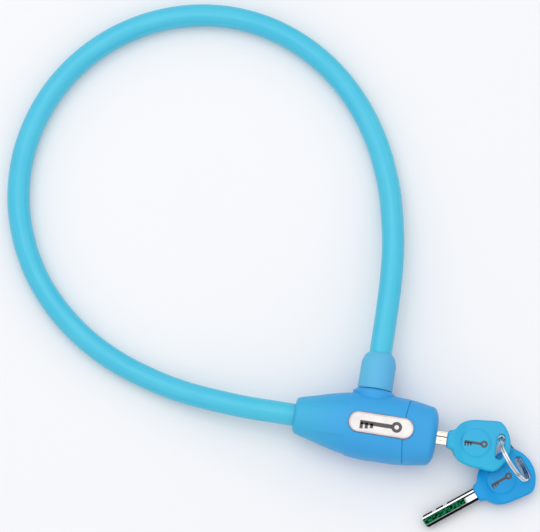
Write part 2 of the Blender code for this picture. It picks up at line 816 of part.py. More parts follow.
def make_cable(look):
    points = smooth_path(cable_points(), CABLE_STEP)
    curve = bpy.data.curves.new("cable", "CURVE")
    curve.dimensions = "3D"
    curve.bevel_depth = CABLE_RADIUS
    curve.bevel_resolution = 3
    curve.use_fill_caps = True
    spline = curve.splines.new("POLY")
    spline.points.add(len(points) - 1)
    for point, place in zip(spline.points, points):
        point.co = (*place, 1.0)
    return finish(add_object("cable", curve), look)


# ---- Keys and ring -----------------------------------------------------------


def bow_outline():
    """Half of the bow is worked out, then mirrored: end arc, side, shoulder."""
    centre = BOW_END - BOW_END_RADIUS
    top = math.asin(BOW_HALF_WIDTH / BOW_END_RADIUS)
    half = []
    for step in range(9):
        angle = top * step / 8
        x = centre + BOW_END_RADIUS * math.cos(angle)
        half.append((x, BOW_END_RADIUS * math.sin(angle)))
    length = BOW_SHOULDER_END - BOW_START
    rise = BOW_SHOULDER_HALF_WIDTH - COLLAR_RADIUS
    for step in range(9):
        angle = math.pi / 2 * (1 - step / 8)
        x = BOW_SHOULDER_END - length * math.cos(angle)
        half.append((x, COLLAR_RADIUS + rise * math.sin(angle)))
    return half + [(x, -y) for x, y in reversed(half[1:])]


def make_bow(name, look):
    """Moulded bow with its ring slot, round pads, collar and room for the blade."""
    half = BOW_THICKNESS / 2
    bow = slab(name, bow_outline(), -half, half, rounding=BOW_ROUNDING)
    root = (
        (0.0, COLLAR_START),
        (COLLAR_RADIUS - 0.5 * MM, COLLAR_START),
        (COLLAR_RADIUS, COLLAR_START + 0.5 * MM),
        (COLLAR_RADIUS, BOW_START + 0.4 * MM),
        (half - 0.4 * MM, BOW_START + 4.5 * MM),
        (0.0, BOW_START + 4.5 * MM),
    )
    collar = turned(f"form_{name}_collar", root, ALONG_X, 24)
    reach = half + PAD_HEIGHT
    placing = Matrix.Translation((PAD_X, 0.0, 0.0))
    pad = rod(f"form_{name}_pad", PAD_RADIUS, -reach, reach, placing, 28, 0.3 * MM)
    join(bow, collar, pad)
    slot = slab(
        f"cutter_{name}_slot",
        stadium(SLOT_HALF_LENGTH, SLOT_HALF_WIDTH),
        -BOW_THICKNESS,
        BOW_THICKNESS,
        Matrix.Rotation(math.pi / 2, 4, "Z"),
    )
    bore = rod(
        f"cutter_{name}_bore", BLADE_RADIUS + GAP, COLLAR_START - MM, BOW_START, ALONG_X, 24
    )
    side = TANG_WIDTH / 2 + GAP
    tall = TANG_THICKNESS / 2 + GAP
    tang_room = block(
        f"cutter_{name}_tang", (BOW_START - MM, -side, -tall), (TANG_END + GAP, side, tall)
    )
    cut(bow, slot, bore, tang_room)
    return finish(bow, look)


def make_blade(name, look):
    """Round blade with one flat, angled cuts along it and a tang in the bow."""
    end = BOW_START - GAP
    outline = flat_round(BLADE_RADIUS, BLADE_FLAT)
    placing = Matrix.Translation((BLADE_TIP, 0.0, 0.0)) @ ACROSS_X
    blade = slab(name, outline, 0.0, end - BLADE_TIP, placing)
    point = turned(
        f"form_{name}_point",
        (
            (0.0, BLADE_TIP),
            (BLADE_RADIUS - BLADE_CHAMFER, BLADE_TIP),
            (BLADE_RADIUS + 0.5 * MM, BLADE_TIP + BLADE_CHAMFER + 0.5 * MM),
            (BLADE_RADIUS + 0.5 * MM, BOW_START),
            (0.0, BOW_START),
        ),
        ALONG_X,
        24,
    )
    boolean(blade, as_cutter(point), "INTERSECT")
    half = TANG_THICKNESS / 2
    tang = block(
        f"form_{name}_tang", (end - MM, -TANG_WIDTH / 2, -half), (TANG_END, TANG_WIDTH / 2, half)
    )
    join(blade, tang)
    wide = 3 * BLADE_RADIUS
    for i, degrees in enumerate(CUT_TURNS):
        start = BLADE_TIP + BLADE_CHAMFER + (i + 0.6) * DISC_PITCH
        turn = Matrix.Rotation(math.radians(180 + degrees), 4, "X")
        low = (start, -wide, BLADE_RADIUS - CUT_DEPTH)
        cut(blade, block(f"cutter_{name}_{i + 1}", low, (start + CUT_LENGTH, wide, wide), turn))
    return finish(blade, look)


def make_key(number, placing, plastic, steel):
    bow = make_bow(f"key_{number}_bow", plastic)
    blade = make_blade(f"key_{number}_blade", steel)
    helpers = [obj for obj in bpy.data.objects if f"key_{number}_" in obj.name]
    for obj in helpers:
        obj.matrix_world = placing
    return bow, blade


def ring_frame():
    """Places the ring: its own Z is its axis, its own X the level line."""
    heading = Matrix.Rotation(RING_HEADING, 4, "Z")
    upright = Matrix.Rotation(math.pi / 2 + RING_LEAN, 4, "X")
    return Matrix.Translation(RING_CENTRE) @ heading @ upright


def make_ring(look):
    """A flat wire wound twice, which crosses from one turn to the other once."""
    bm = bmesh.new()
    half_width = WIRE_WIDTH / 2
    half_thickness = WIRE_THICKNESS / 2
    sweep = 2 * math.tau - CROSSOVER
    count = round(2 * RING_STEPS * sweep / (2 * math.tau))
    rings = []
    for i in range(count + 1):
        angle = CROSSOVER / 2 + sweep * i / count
        into = (angle - (math.tau - CROSSOVER / 2)) / CROSSOVER
        share = min(1.0, max(0.0, into))
        along = TURN_PITCH * (share * share * (3 - 2 * share) - 0.5)
        radial = Vector((math.cos(angle), math.sin(angle), 0.0))
        ring = []
        corners = ((-1, -1), (1, -1), (1, 1), (-1, 1))
        for across, up in corners:
            place = radial * (RING_RADIUS + across * half_width)
            ring.append(bm.verts.new((place.x, place.y, along + up * half_thickness)))
        rings.append(ring)
    for ring, after in zip(rings, rings[1:]):
        for i in range(4):
            j = (i + 1) % 4
            bm.faces.new((ring[i], ring[j], after[j], after[i]))
    bm.faces.new(rings[0])
    bm.faces.new(rings[-1])
    ring = from_bmesh("key_ring", bm, ALONG_Z)
    ring.matrix_world = ring_frame()
    return finish(ring, look)


# ---- Whole lock --------------------------------------------------------------


def main():
    clear_scene()
    blue = material("cover blue", BLUE, 0.22)
    cable_blue = material("cable blue", CABLE_BLUE, 0.2)
    frost = material("sleeve blue", FROST_BLUE, 0.35)
    key_blue = material("bow blue", KEY_BLUE, 0.3)
    silver = material("badge silver", SILVER, 0.35, 0.6)
    steel = material("steel", STEEL, 0.25, 1.0)
    zinc = material("zinc", ZINC, 0.45, 1.0)
    brass = material("brass", BRASS, 0.3, 1.0)
    rubber = material("rubber", BLACK, 0.6)

    make_cover(blue)
    make_badge(silver)
    make_inner_body(zinc)
    make_cable_anchor(zinc, steel)
    make_retainer(steel)
    make_bush(rubber)
    make_cable(cable_blue)

    core = make_core(zinc, steel, brass)
    key_1 = make_key(1, Matrix.Translation(KEY_1_SLOT), key_blue, steel)
    hang_on(pivot("key_axis", (0.0, 0.0, AXIS_HEIGHT)), *core, *key_1)

    latch = make_latch_plate(steel)
    plug = make_plug(frost, steel, zinc, rubber)
    hang_on(pivot("plug_axis", (0.0, 0.0, AXIS_HEIGHT)), latch, *plug)

    turn = Matrix.Rotation(KEY_2_HEADING, 4, "Z") @ Matrix.Rotation(-KEY_2_RISE, 4, "Y")
    key_2 = make_key(2, Matrix.Translation(KEY_2_SLOT) @ turn, key_blue, steel)
    ring = make_ring(steel)
    hang_on(pivot("ring_axis", RING_CENTRE), ring, *key_2)


main()
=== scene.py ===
"""Looks of the cable lock with its two keys on a split ring."""

import math

import bmesh
import bpy
from mathutils import Matrix, Vector


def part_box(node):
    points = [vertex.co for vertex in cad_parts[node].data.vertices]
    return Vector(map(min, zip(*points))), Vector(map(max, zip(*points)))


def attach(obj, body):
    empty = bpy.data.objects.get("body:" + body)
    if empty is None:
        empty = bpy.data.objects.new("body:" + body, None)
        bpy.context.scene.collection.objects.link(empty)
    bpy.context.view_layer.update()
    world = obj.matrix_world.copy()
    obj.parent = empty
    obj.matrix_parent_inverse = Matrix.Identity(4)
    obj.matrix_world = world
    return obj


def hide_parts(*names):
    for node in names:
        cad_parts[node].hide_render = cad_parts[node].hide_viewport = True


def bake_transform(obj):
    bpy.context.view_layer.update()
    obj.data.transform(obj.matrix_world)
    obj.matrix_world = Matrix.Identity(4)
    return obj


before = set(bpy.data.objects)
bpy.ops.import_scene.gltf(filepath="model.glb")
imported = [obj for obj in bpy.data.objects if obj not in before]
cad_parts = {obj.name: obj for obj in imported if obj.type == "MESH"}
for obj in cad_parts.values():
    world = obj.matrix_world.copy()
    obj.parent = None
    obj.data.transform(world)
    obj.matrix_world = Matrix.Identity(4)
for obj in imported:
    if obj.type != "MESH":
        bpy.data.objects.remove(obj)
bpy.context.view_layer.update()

MM = 0.001
GAP = 0.3 * MM
SLIVER = 0.004 * MM  # shorter edges are leftovers of a Boolean
CLOUD_SHARE = 0.22  # how far noise shifts a plastic's colour drift

# ---- Sizes, from the frame where it has them ----------------------------------

COVER_LOW, COVER_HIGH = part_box("cover_main")
CAP_LOW, CAP_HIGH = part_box("cover_cap")
CASTING_LOW, CASTING_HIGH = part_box("inner_body")
BADGE_LOW, BADGE_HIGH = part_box("badge_plate")
SLEEVE_LOW, SLEEVE_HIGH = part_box("plug_sleeve")
PIN_LOW, PIN_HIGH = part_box("plug_pin")
BUSH_LOW, BUSH_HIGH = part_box("socket_bush")
FACE_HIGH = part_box("core_face")[1]
BOW_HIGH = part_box("key_1_bow")[1]

AXIS_HEIGHT = (CASTING_LOW.z + CASTING_HIGH.z) / 2
AXIS = Matrix.Translation((0.0, 0.0, AXIS_HEIGHT))
ALONG_X = Matrix.Rotation(math.pi / 2, 4, "Y")
ALONG_Y = Matrix.Rotation(-math.pi / 2, 4, "X")
ALONG_Z = Matrix.Identity(4)
# Turns an outline drawn in XY to stand across the X axis, its y upwards
ACROSS_X = Matrix(((0, 0, 1, 0), (1, 0, 0, 0), (0, 1, 0, 0), (0, 0, 0, 1)))

HEAD_CABLE_END = -COVER_LOW.x
HEAD_KEY_END = CAP_HIGH.x
HEAD_HALF_WIDTH = -COVER_LOW.y
HEAD_HALF_HEIGHT = 14.6 * MM
HEAD_SQUARENESS = 2.4
NECK_RADIUS = 8.75 * MM
NECK_ROUNDING = 1.6 * MM
SHOULDER_START = 6.0 * MM
SHOULDER_DROP = 0.13
NOSE_LENGTH = 4.0 * MM
NOSE_INSET = 8.0 * MM
HEAD_SIDES = 160
SEAM_X = CAP_LOW.x
SEAM_RADIUS = 71.0 * MM
SEAM_REACH = 12.0 * MM  # how far the sections follow the seam's curve
SEAM_EDGE = 0.25 * MM
SEAM_GAP = 0.12 * MM
CABLE_HOLE = 5.95 * MM
BADGE_SINK = 0.2 * MM  # of its face below its rim
FACE_HOLE = FACE_HIGH.y + GAP
GRIP_LINE = 7.9 * MM  # from the middle to the grip flats' upper edges
GRIP_DEPTH = 0.55 * MM
GRIP_START = -36.0 * MM
GRIP_END = -12.6 * MM

BOSS_RADIUS = 9.1 * MM
BEAD_RISE = 1.7 * MM
TAIL_RADIUS = 7.5 * MM  # of the casting's slimmer end
TAIL_END = -11.0 * MM
BADGE_PICTURE_LENGTH = 21.0 * MM
BADGE_PICTURE_WIDTH = 5.4 * MM

SLEEVE_WALL = 1.65 * MM
SLEEVE_STRAIGHT = 12.9 * MM  # before its taper
SLEEVE_ROOM_LENGTH = 11.5 * MM
PIN_RADIUS = 5.0 * MM
PIN_POINT = 2.5 * MM
GROOVE_RADIUS = 3.0 * MM
GROOVE_START = 0.3 * MM
GROOVE_END = 3.5 * MM
FLANGE_THICKNESS = 1.7 * MM

CABLE_RADIUS = 5.65 * MM
CABLE_START = CASTING_LOW.x - 2 * GAP
CABLE_STRAIGHT = 8.0 * MM
CABLE_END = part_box("plug_crimp")[1].y + 2 * GAP
CABLE_SIDES = 40
CABLE_RING_STEP = 2.0 * MM
# Places that the cable passes, with its height there, in millimetres
CABLE_ROUTE = (
    (-62.0, 0.2, 13.0),
    (-78.1, 1.4, 10.6),
    (-94.2, 3.4, 8.0),
    (-110.1, 6.9, 6.2),
    (-129.3, 13.1, 5.8),
    (-147.4, 22.3, 5.8),
    (-163.5, 34.6, 5.8),
    (-177.1, 49.9, 5.8),
    (-187.1, 67.8, 5.8),
    (-193.2, 87.5, 5.8),
    (-194.7, 108.0, 5.8),
    (-191.6, 128.4, 5.8),
    (-184.2, 147.6, 5.8),
    (-172.8, 164.7, 5.8),
    (-158.0, 178.8, 5.8),
    (-140.5, 189.4, 5.8),
    (-121.1, 195.9, 5.8),
    (-100.8, 197.9, 5.8),
    (-80.5, 195.2, 5.8),
    (-61.3, 187.9, 5.8),
    (-44.1, 176.6, 5.8),
    (-29.6, 162.0, 5.8),
    (-18.1, 144.9, 5.8),
    (-9.7, 125.9, 6.6),
    (-5.2, 109.7, 8.4),
    (-2.1, 93.2, 10.6),
    (-0.6, 76.6, 12.7),
    (-0.1, 61.0, 13.8),
)

BLADE_RADIUS = 3.4 * MM
BLADE_FLAT = 1.0 * MM
BLADE_CHAMFER = 1.2 * MM
CUT_DEPTH = 1.1 * MM
CUT_LENGTH = 2.2 * MM
CUT_PITCH = 3.1 * MM
CUT_ZONE = -33.5 * MM  # the cuts end here, measured along the key
CUT_TURNS = (20.0, 75.0, 40.0, 90.0, 55.0, 30.0)
COLLAR_START = -27.0 * MM
COLLAR_RADIUS = 4.55 * MM
BOW_START = -23.2 * MM
BOW_SHOULDER_END = -11.2 * MM
BOW_SHOULDER_HALF_WIDTH = 12.0 * MM
BOW_HALF_WIDTH = 13.0 * MM
BOW_THICKNESS = 4.5 * MM
BOW_END = 5.2 * MM
BOW_END_RADIUS = 15.95 * MM
SLOT_HALF_WIDTH = 1.8 * MM
SLOT_HALF_LENGTH = 6.4 * MM
PAD_X = -12.2 * MM
PAD_RADIUS = 7.5 * MM
PAD_HEIGHT = 0.5 * MM
PAD_SLOPE = 1.4 * MM
BOW_ROUNDING = 1.1 * MM
BOW_STEPS = 176
BOW_SOFTNESS = 14
COLLAR_HALF_THICKNESS = 3.9 * MM
PICTURE_LENGTH = 11.6 * MM
PICTURE_WIDTH = 3.6 * MM
KEY_1_SLOT = Vector((BOW_HIGH.x - BOW_END, 0.0, AXIS_HEIGHT))
KEY_2_SLOT = KEY_1_SLOT + Vector((13.1, -7.8, -7.7)) * MM
KEY_2_HEADING = math.radians(37.6)
KEY_2_RISE = math.radians(2.8)
BLADE_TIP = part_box("key_1_blade")[0].x - KEY_1_SLOT.x

RING_CENTRE = KEY_1_SLOT + Vector((7.5, -4.8, 0.0)) * MM
RING_RADIUS = 12.3 * MM
RING_HEADING = math.radians(-50.8)
RING_LEAN = math.radians(18.1)
WIRE_WIDTH = 1.1 * MM
WIRE_THICKNESS = 0.95 * MM
TURN_PITCH = 1.05 * MM
CROSSOVER = math.radians(30.0)


# ---- Camera, floor and light ---------------------------------------------------

VIEW_CENTRE = Vector((-61.75, 72.66, 14.0)) * MM
VIEW_WIDTH = 271.8 * MM
VIEW_DISTANCE = 2.0
VIEW_ROLL = math.radians(9.05)
VIEW_TILT = math.radians(9.46)


def place_camera():
    lens = bpy.data.cameras.new("camera")
    lens.sensor_width = 36.0
    lens.lens = lens.sensor_width * VIEW_DISTANCE / VIEW_WIDTH
    lens.clip_start = 0.05
    camera = bpy.data.objects.new("camera", lens)
    bpy.context.scene.collection.objects.link(camera)
    turn = Matrix.Rotation(VIEW_ROLL, 4, "Z") @ Matrix.Rotation(VIEW_TILT, 4, "X")
    back = Matrix.Translation((0.0, 0.0, VIEW_DISTANCE))
    camera.matrix_world = Matrix.Translation(VIEW_CENTRE) @ turn @ back
    bpy.context.scene.camera = camera
    bpy.context.scene.view_settings.view_transform = "Standard"


def soft_box(name, place, target, size, power):
    lamp = bpy.data.lights.new(name, "AREA")
    lamp.shape = "RECTANGLE"
    lamp.size = size[0]
    lamp.size_y = size[1]
    lamp.energy = power
    obj = bpy.data.objects.new(name, lamp)
    bpy.context.scene.collection.objects.link(obj)
    away = Vector(place) - Vector(target)
    obj.rotation_euler = away.to_track_quat("Z", "Y").to_euler()
    obj.location = place


def light_scene():
    """A bright tent overhead that darkens towards the horizon."""
    middle = (-0.06, 0.07, 0.0)
    soft_box("overhead", (-0.5, 0.5, 1.9), middle, (1.6, 1.6), 9.0)
    world = bpy.data.worlds.new("studio")
    world.use_nodes = True
    tree = world.node_tree
    heading = add_node(tree, "ShaderNodeTexCoord").outputs["Generated"]
    height = along(tree, heading, "Z", 0.16, 0.34)
    sky = blend_colours(tree, height, (0.3, 0.3, 0.31, 1.0), (0.97, 0.98, 1.0, 1.0))
    tree.links.new(sky, tree.nodes["Background"].inputs["Color"])
    tree.nodes["Background"].inputs["Strength"].default_value = 0.95
    bpy.context.scene.world = world


def lay_floor():
    bm = bmesh.new()
    bmesh.ops.create_grid(bm, x_segments=1, y_segments=1, size=3.0)
    mesh = bpy.data.meshes.new("floor")
    bm.to_mesh(mesh)
    bm.free()
    floor = bpy.data.objects.new("floor", mesh)
    bpy.context.scene.collection.objects.link(floor)
    look, tree, shader = new_look("pale floor")
    shader.inputs["Base Color"].default_value = (0.88, 0.88, 0.89, 1.0)
    shader.inputs["Roughness"].default_value = 0.9
    mesh.materials.append(look)


# ---- Tools for materials --------------------------------------------------------


def paint(red, green, blue):
    """A display colour, 0 to 255, as a linear colour."""
    return (*((value / 255) ** 2.2 for value in (red, green, blue)), 1.0)


def new_look(name):
    look = bpy.data.materials.new(name)
    look.use_nodes = True
    return look, look.node_tree, look.node_tree.nodes["Principled BSDF"]


def add_node(tree, kind, values=(), **settings):
    made = tree.nodes.new(kind)
    for name, value in settings.items():
        setattr(made, name, value)
    for name, value in dict(values).items():
        made.inputs[name].default_value = value
    return made


def grain(tree, place, scale, detail=4.0, stretch=None):
    """A noise pattern on the given coordinates, stretched if asked."""
    if stretch:
        mapping = add_node(tree, "ShaderNodeMapping", {"Scale": stretch})
        tree.links.new(place, mapping.inputs["Vector"])
        place = mapping.outputs["Vector"]
    noise = add_node(tree, "ShaderNodeTexNoise", {"Scale": scale, "Detail": detail})
    tree.links.new(place, noise.inputs["Vector"])
    return noise.outputs["Fac"]


def spread(tree, value, low, high, start=0.3, end=0.7):
    """Maps the usual span of a noise to low and high."""
    span = {"From Min": start, "From Max": end, "To Min": low, "To Max": high}
    mapped = add_node(tree, "ShaderNodeMapRange", span)
    tree.links.new(value, mapped.inputs["Value"])
    return mapped.outputs["Result"]


def blend_colours(tree, share, first, second):
    mixed = add_node(tree, "ShaderNodeMix", data_type="RGBA")
    tree.links.new(share, mixed.inputs["Factor"])
    for index, colour in ((6, first), (7, second)):
        if isinstance(colour, bpy.types.NodeSocket):
            tree.links.new(colour, mixed.inputs[index])
        else:
            mixed.inputs[index].default_value = colour
    return mixed.outputs[2]


def multiply(tree, first, second, times=1.0):
    """The product of two values, taken a fixed number of times."""
    product = add_node(tree, "ShaderNodeMath", operation="MULTIPLY")
    tree.links.new(first, product.inputs[0])
    tree.links.new(second, product.inputs[1])
    scaled = add_node(tree, "ShaderNodeMath", {1: times}, operation="MULTIPLY")
    tree.links.new(product.outputs[0], scaled.inputs[0])
    return scaled.outputs[0]


def roughen(tree, shader, height, strength, depth):
    bump = add_node(tree, "ShaderNodeBump", {"Strength": strength, "Distance": depth})
    tree.links.new(height, bump.inputs["Height"])
    tree.links.new(bump.outputs["Normal"], shader.inputs["Normal"])


def object_place(tree):
    return add_node(tree, "ShaderNodeTexCoord").outputs["Object"]


def along(tree, place, axis, start, end):
    """0 at start and 1 at end, along one axis."""
    split = add_node(tree, "ShaderNodeSeparateXYZ")
    tree.links.new(place, split.inputs["Vector"])
    return spread(tree, split.outputs[axis], 0.0, 1.0, start, end)


def plastic(name, pale, deep, axis, start, end, roughness, gloss, texture=0.06):
    """Moulded plastic, its colour drifting along the piece, with a fine skin."""
    look, tree, shader = new_look(name)
    place = object_place(tree)
    drift = along(tree, place, axis, start, end)
    cloud = grain(tree, place, 90.0, 3.0)
    tone = add_node(tree, "ShaderNodeMath", {1: CLOUD_SHARE}, operation="MULTIPLY")
    tree.links.new(cloud, tone.inputs[0])
    total = add_node(tree, "ShaderNodeMath", operation="ADD", use_clamp=True)
    tree.links.new(drift, total.inputs[0])
    tree.links.new(tone.outputs[0], total.inputs[1])
    colour = blend_colours(tree, total.outputs[0], pale, deep)
    tree.links.new(colour, shader.inputs["Base Color"])
    skin = grain(tree, place, 1400.0, 5.0)
    tree.links.new(
        spread(tree, skin, roughness - 0.04, roughness + 0.06), shader.inputs["Roughness"]
    )
    roughen(tree, shader, skin, texture, 0.1 * MM)
    shader.inputs["Specular IOR Level"].default_value = gloss
    return look


def metal(name, tint, dull, roughness, stretch, scratches=0.05):
    """Metal with fine drawn lines and slightly duller patches."""
    look, tree, shader = new_look(name)
    place = object_place(tree)
    lines = grain(tree, place, 600.0, 6.0, stretch)
    patches = grain(tree, place, 160.0, 3.0)
    colour = blend_colours(tree, spread(tree, patches, 0.0, 1.0), tint, dull)
    tree.links.new(colour, shader.inputs["Base Color"])
    tree.links.new(
        spread(tree, lines, roughness - 0.04, roughness + 0.08), shader.inputs["Roughness"]
    )
    roughen(tree, shader, lines, scratches, 0.05 * MM)
    shader.inputs["Metallic"].default_value = 1.0
    return look


# ---- Materials ------------------------------------------------------------------


def cover_look():
    return plastic(
        "pearl blue cover",
        paint(66, 178, 218),
        paint(58, 160, 222),
        "X",
        -36 * MM,
        -4 * MM,
        0.42,
        0.3,
    )


def sleeve_look():
    look = plastic(
        "frosted blue sleeve",
        paint(94, 174, 222),
        paint(98, 188, 224),
        "X",
        8 * MM,
        -8 * MM,
        0.46,
        0.25,
        0.1,
    )
    shader = look.node_tree.nodes["Principled BSDF"]
    shader.inputs["Subsurface Weight"].default_value = 0.12
    shader.inputs["Subsurface Scale"].default_value = 0.002
    return look


def bow_look(name, pale, deep):
    return plastic(name, pale, deep, "Y", 14 * MM, -14 * MM, 0.36, 0.3, 0.08)


def cable_look():
    """Smooth vinyl over rope: lighter streaks along the cable, painted sheen, and a faint twist
    below.
    """
    look, tree, shader = new_look("cyan vinyl")
    place = add_node(tree, "ShaderNodeAttribute", attribute_name="cable_place").outputs["Vector"]
    sheen_streaks = grain(tree, place, 1.0, 4.0, (14.0, 420.0, 420.0))
    clouds = grain(tree, place, 1.0, 3.0, (60.0, 120.0, 120.0))
    # The lighter streaks are painted sheen along the cable; the same streaks also bump its skin.
    base = blend_colours(
        tree, spread(tree, sheen_streaks, 0.0, 1.0), paint(70, 190, 221), paint(84, 199, 224)
    )
    colour = blend_colours(tree, spread(tree, clouds, 0.0, 0.35), base, paint(56, 184, 221))
    tree.links.new(colour, shader.inputs["Base Color"])
    skin = grain(tree, place, 1.0, 5.0, (500.0, 900.0, 900.0))
    tree.links.new(spread(tree, skin, 0.28, 0.4), shader.inputs["Roughness"])
    roughen(tree, shader, sheen_streaks, 0.05, 0.2 * MM)
    shader.inputs["Specular IOR Level"].default_value = 0.4
    return look


def bands_of(*stops):
    return [(share, paint(*colour)) for share, colour in stops]


# Colour bands across a blade, side to side: painted reflections, bright steel crossed by the dark
# and brownish lines a polished blade would mirror.
BRIGHT_PAINTED_REFLECTIONS = bands_of(
    (0.0, (150, 130, 110)),
    (0.1, (206, 200, 190)),
    (0.26, (212, 208, 200)),
    (0.3, (150, 128, 104)),
    (0.34, (212, 208, 200)),
    (0.54, (208, 202, 194)),
    (0.58, (30, 24, 22)),
    (0.63, (120, 100, 86)),
    (0.68, (216, 212, 206)),
    (0.84, (212, 208, 200)),
    (0.9, (168, 148, 124)),
    (1.0, (214, 208, 200)),
)
# The second blade's painted reflections: mostly black bands with a few bright ones.
DARK_PAINTED_REFLECTIONS = bands_of(
    (0.0, (196, 198, 200)),
    (0.05, (20, 22, 24)),
    (0.22, (12, 16, 16)),
    (0.27, (226, 230, 232)),
    (0.34, (238, 240, 241)),
    (0.6, (200, 206, 208)),
    (0.66, (18, 24, 24)),
    (0.74, (14, 18, 18)),
    (0.78, (232, 235, 236)),
    (0.84, (220, 224, 226)),
    (0.88, (14, 16, 18)),
    (0.98, (22, 26, 28)),
    (1.0, (120, 124, 126)),
)


def badge_look():
    return metal(
        "satin silver", paint(219, 216, 213), paint(203, 199, 198), 0.42, (1.0, 14.0, 1.0), 0.04
    )


def blade_look(name, placing, reflection_bands, green_patch):
    """Polished steel with drawn lines along the blade, bands of painted reflection across it, and a
    dark green mottled patch over the cut zone where asked.
    """
    look, tree, shader = new_look(name)
    mapping = add_node(tree, "ShaderNodeMapping", vector_type="TEXTURE")
    mapping.inputs["Location"].default_value = placing.to_translation()
    mapping.inputs["Rotation"].default_value = placing.to_euler()
    tree.links.new(object_place(tree), mapping.inputs["Vector"])
    place = mapping.outputs["Vector"]
    # The colour across the blade is painted reflection, taken from these bands.
    across = along(tree, place, "Y", -BLADE_RADIUS, BLADE_RADIUS)
    ramp = add_node(tree, "ShaderNodeValToRGB")
    stops = ramp.color_ramp.elements
    for i, (share, colour) in enumerate(reflection_bands):
        stop = stops[i] if i < 2 else stops.new(share)
        stop.position = share
        stop.color = colour
    tree.links.new(across, ramp.inputs["Fac"])
    # A dark green mottled patch over the middle of the cut zone, as strong as the blade asks.
    flecks = grain(tree, place, 1.0, 2.0, (700.0, 1100.0, 900.0))
    patch_colour = blend_colours(
        tree, spread(tree, flecks, 0.0, 1.0, 0.42, 0.58), paint(3, 14, 12), paint(22, 92, 60)
    )
    reach = along(tree, place, "X", CUT_ZONE + 2 * MM, CUT_ZONE)
    inside = along(tree, place, "Y", -0.62 * BLADE_RADIUS, -0.42 * BLADE_RADIUS)
    below = along(tree, place, "Y", 0.5 * BLADE_RADIUS, 0.3 * BLADE_RADIUS)
    share = multiply(tree, multiply(tree, reach, inside), below, green_patch)
    colour = blend_colours(tree, share, ramp.outputs["Color"], patch_colour)
    tree.links.new(colour, shader.inputs["Base Color"])
    lines = grain(tree, place, 1.0, 5.0, (200.0, 5000.0, 5000.0))
    tree.links.new(spread(tree, lines, 0.12, 0.24), shader.inputs["Roughness"])
    roughen(tree, shader, lines, 0.05, 0.05 * MM)
    shader.inputs["Metallic"].default_value = 1.0
    return look


def mark_look():
    look, tree, shader = new_look("printed mark")
    place = object_place(tree)
    speck = grain(tree, place, 2400.0, 3.0)
    colour = blend_colours(tree, spread(tree, speck, 0.0, 1.0), paint(70, 66, 68), paint(96, 91, 92))
    tree.links.new(colour, shader.inputs["Base Color"])
    tree.links.new(spread(tree, speck, 0.45, 0.6), shader.inputs["Roughness"])
    return look


def rubber_look():
    look, tree, shader = new_look("black rubber")
    place = object_place(tree)
    dust = grain(tree, place, 900.0, 5.0)
    colour = blend_colours(tree, spread(tree, dust, 0.0, 1.0), paint(22, 22, 24), paint(48, 48, 50))
    tree.links.new(colour, shader.inputs["Base Color"])
    tree.links.new(spread(tree, dust, 0.55, 0.75), shader.inputs["Roughness"])
    roughen(tree, shader, dust, 0.2, 0.1 * MM)
    return look


# ---- Tools for meshes -----------------------------------------------------------


def keep(name, bm, placing, look, sharp=35.0):
    """Turns a bmesh into an object whose place is in its mesh."""
    bmesh.ops.remove_doubles(bm, verts=bm.verts, dist=1e-7)
    bmesh.ops.recalc_face_normals(bm, faces=bm.faces)
    bm.transform(placing)
    mesh = bpy.data.meshes.new(name)
    bm.to_mesh(mesh)
    bm.free()
    mesh.shade_smooth()
    mesh.set_sharp_from_angle(angle=math.radians(sharp))
    mesh.materials.append(look)
    obj = bpy.data.objects.new(name, mesh)
    bpy.context.scene.collection.objects.link(obj)
    return obj


def settle(obj, body, slot, *nodes):
    """Rides on a body and stands for CAD nodes; the slot is not used."""
    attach(obj, body)
    if nodes:
        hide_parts(*nodes)
    return obj


def spin_profile(profile, sides=96, ring=False):
    bm = bmesh.new()
    verts = [bm.verts.new((radius, 0.0, place)) for radius, place in profile]
    chain = verts + verts[:1] if ring else verts
    edges = [bm.edges.new(pair) for pair in zip(chain, chain[1:])]
    bmesh.ops.spin(
        bm,
        geom=verts + edges,
        axis=(0.0, 0.0, 1.0),
        cent=(0.0, 0.0, 0.0),
        angle=math.tau,
        steps=sides,
        use_merge=True,
    )
    return bm


def rounded(points, radii, steps=5):
    """A chain of (radius, place) points with its corners rounded by arcs."""
    chain = []
    for i, point in enumerate(points):
        reach = radii[i]
        here = Vector(point)
        if not reach:
            chain.append(tuple(here))
            continue
        before = Vector(points[i - 1])
        after = Vector(points[(i + 1) % len(points)])
        start = here + (before - here).normalized() * reach
        end = here + (after - here).normalized() * reach
        for step in range(steps + 1):
            t = step / steps
            chain.append(tuple(start * (1 - t) ** 2 + here * 2 * t * (1 - t) + end * t * t))
    return chain


def circle_edges(bm, sides, place):
    """A loop of a circle's points, each moved by place(cosine, sine)."""
    verts = bmesh.ops.create_circle(bm, segments=sides, radius=1.0)["verts"]
    for vert in verts:
        vert.co = place(vert.co.x, vert.co.y)
    return list({edge for vert in verts for edge in vert.link_edges})


def bridge_all(bm, loops):
    for loop, after in zip(loops, loops[1:]):
        bmesh.ops.bridge_loops(bm, edges=loop + after)


def close_ends(bm, loops):
    for loop in (loops[0], loops[-1]):
        bmesh.ops.edgeloop_fill(bm, edges=loop)


def bevel(bm, edges, width, segments=3):
    bmesh.ops.bevel(
        bm,
        geom=edges,
        offset=width,
        offset_type="OFFSET",
        affect="EDGES",
        segments=segments,
        profile=0.5,
        clamp_overlap=True,
        material=-1,
    )


def raise_face(bm, faces, height):
    grown = bmesh.ops.extrude_face_region(bm, geom=faces)["geom"]
    verts = [item for item in grown if isinstance(item, bmesh.types.BMVert)]
    bmesh.ops.translate(bm, verts=verts, vec=(0.0, 0.0, height))
    return [item for item in grown if isinstance(item, bmesh.types.BMFace)]


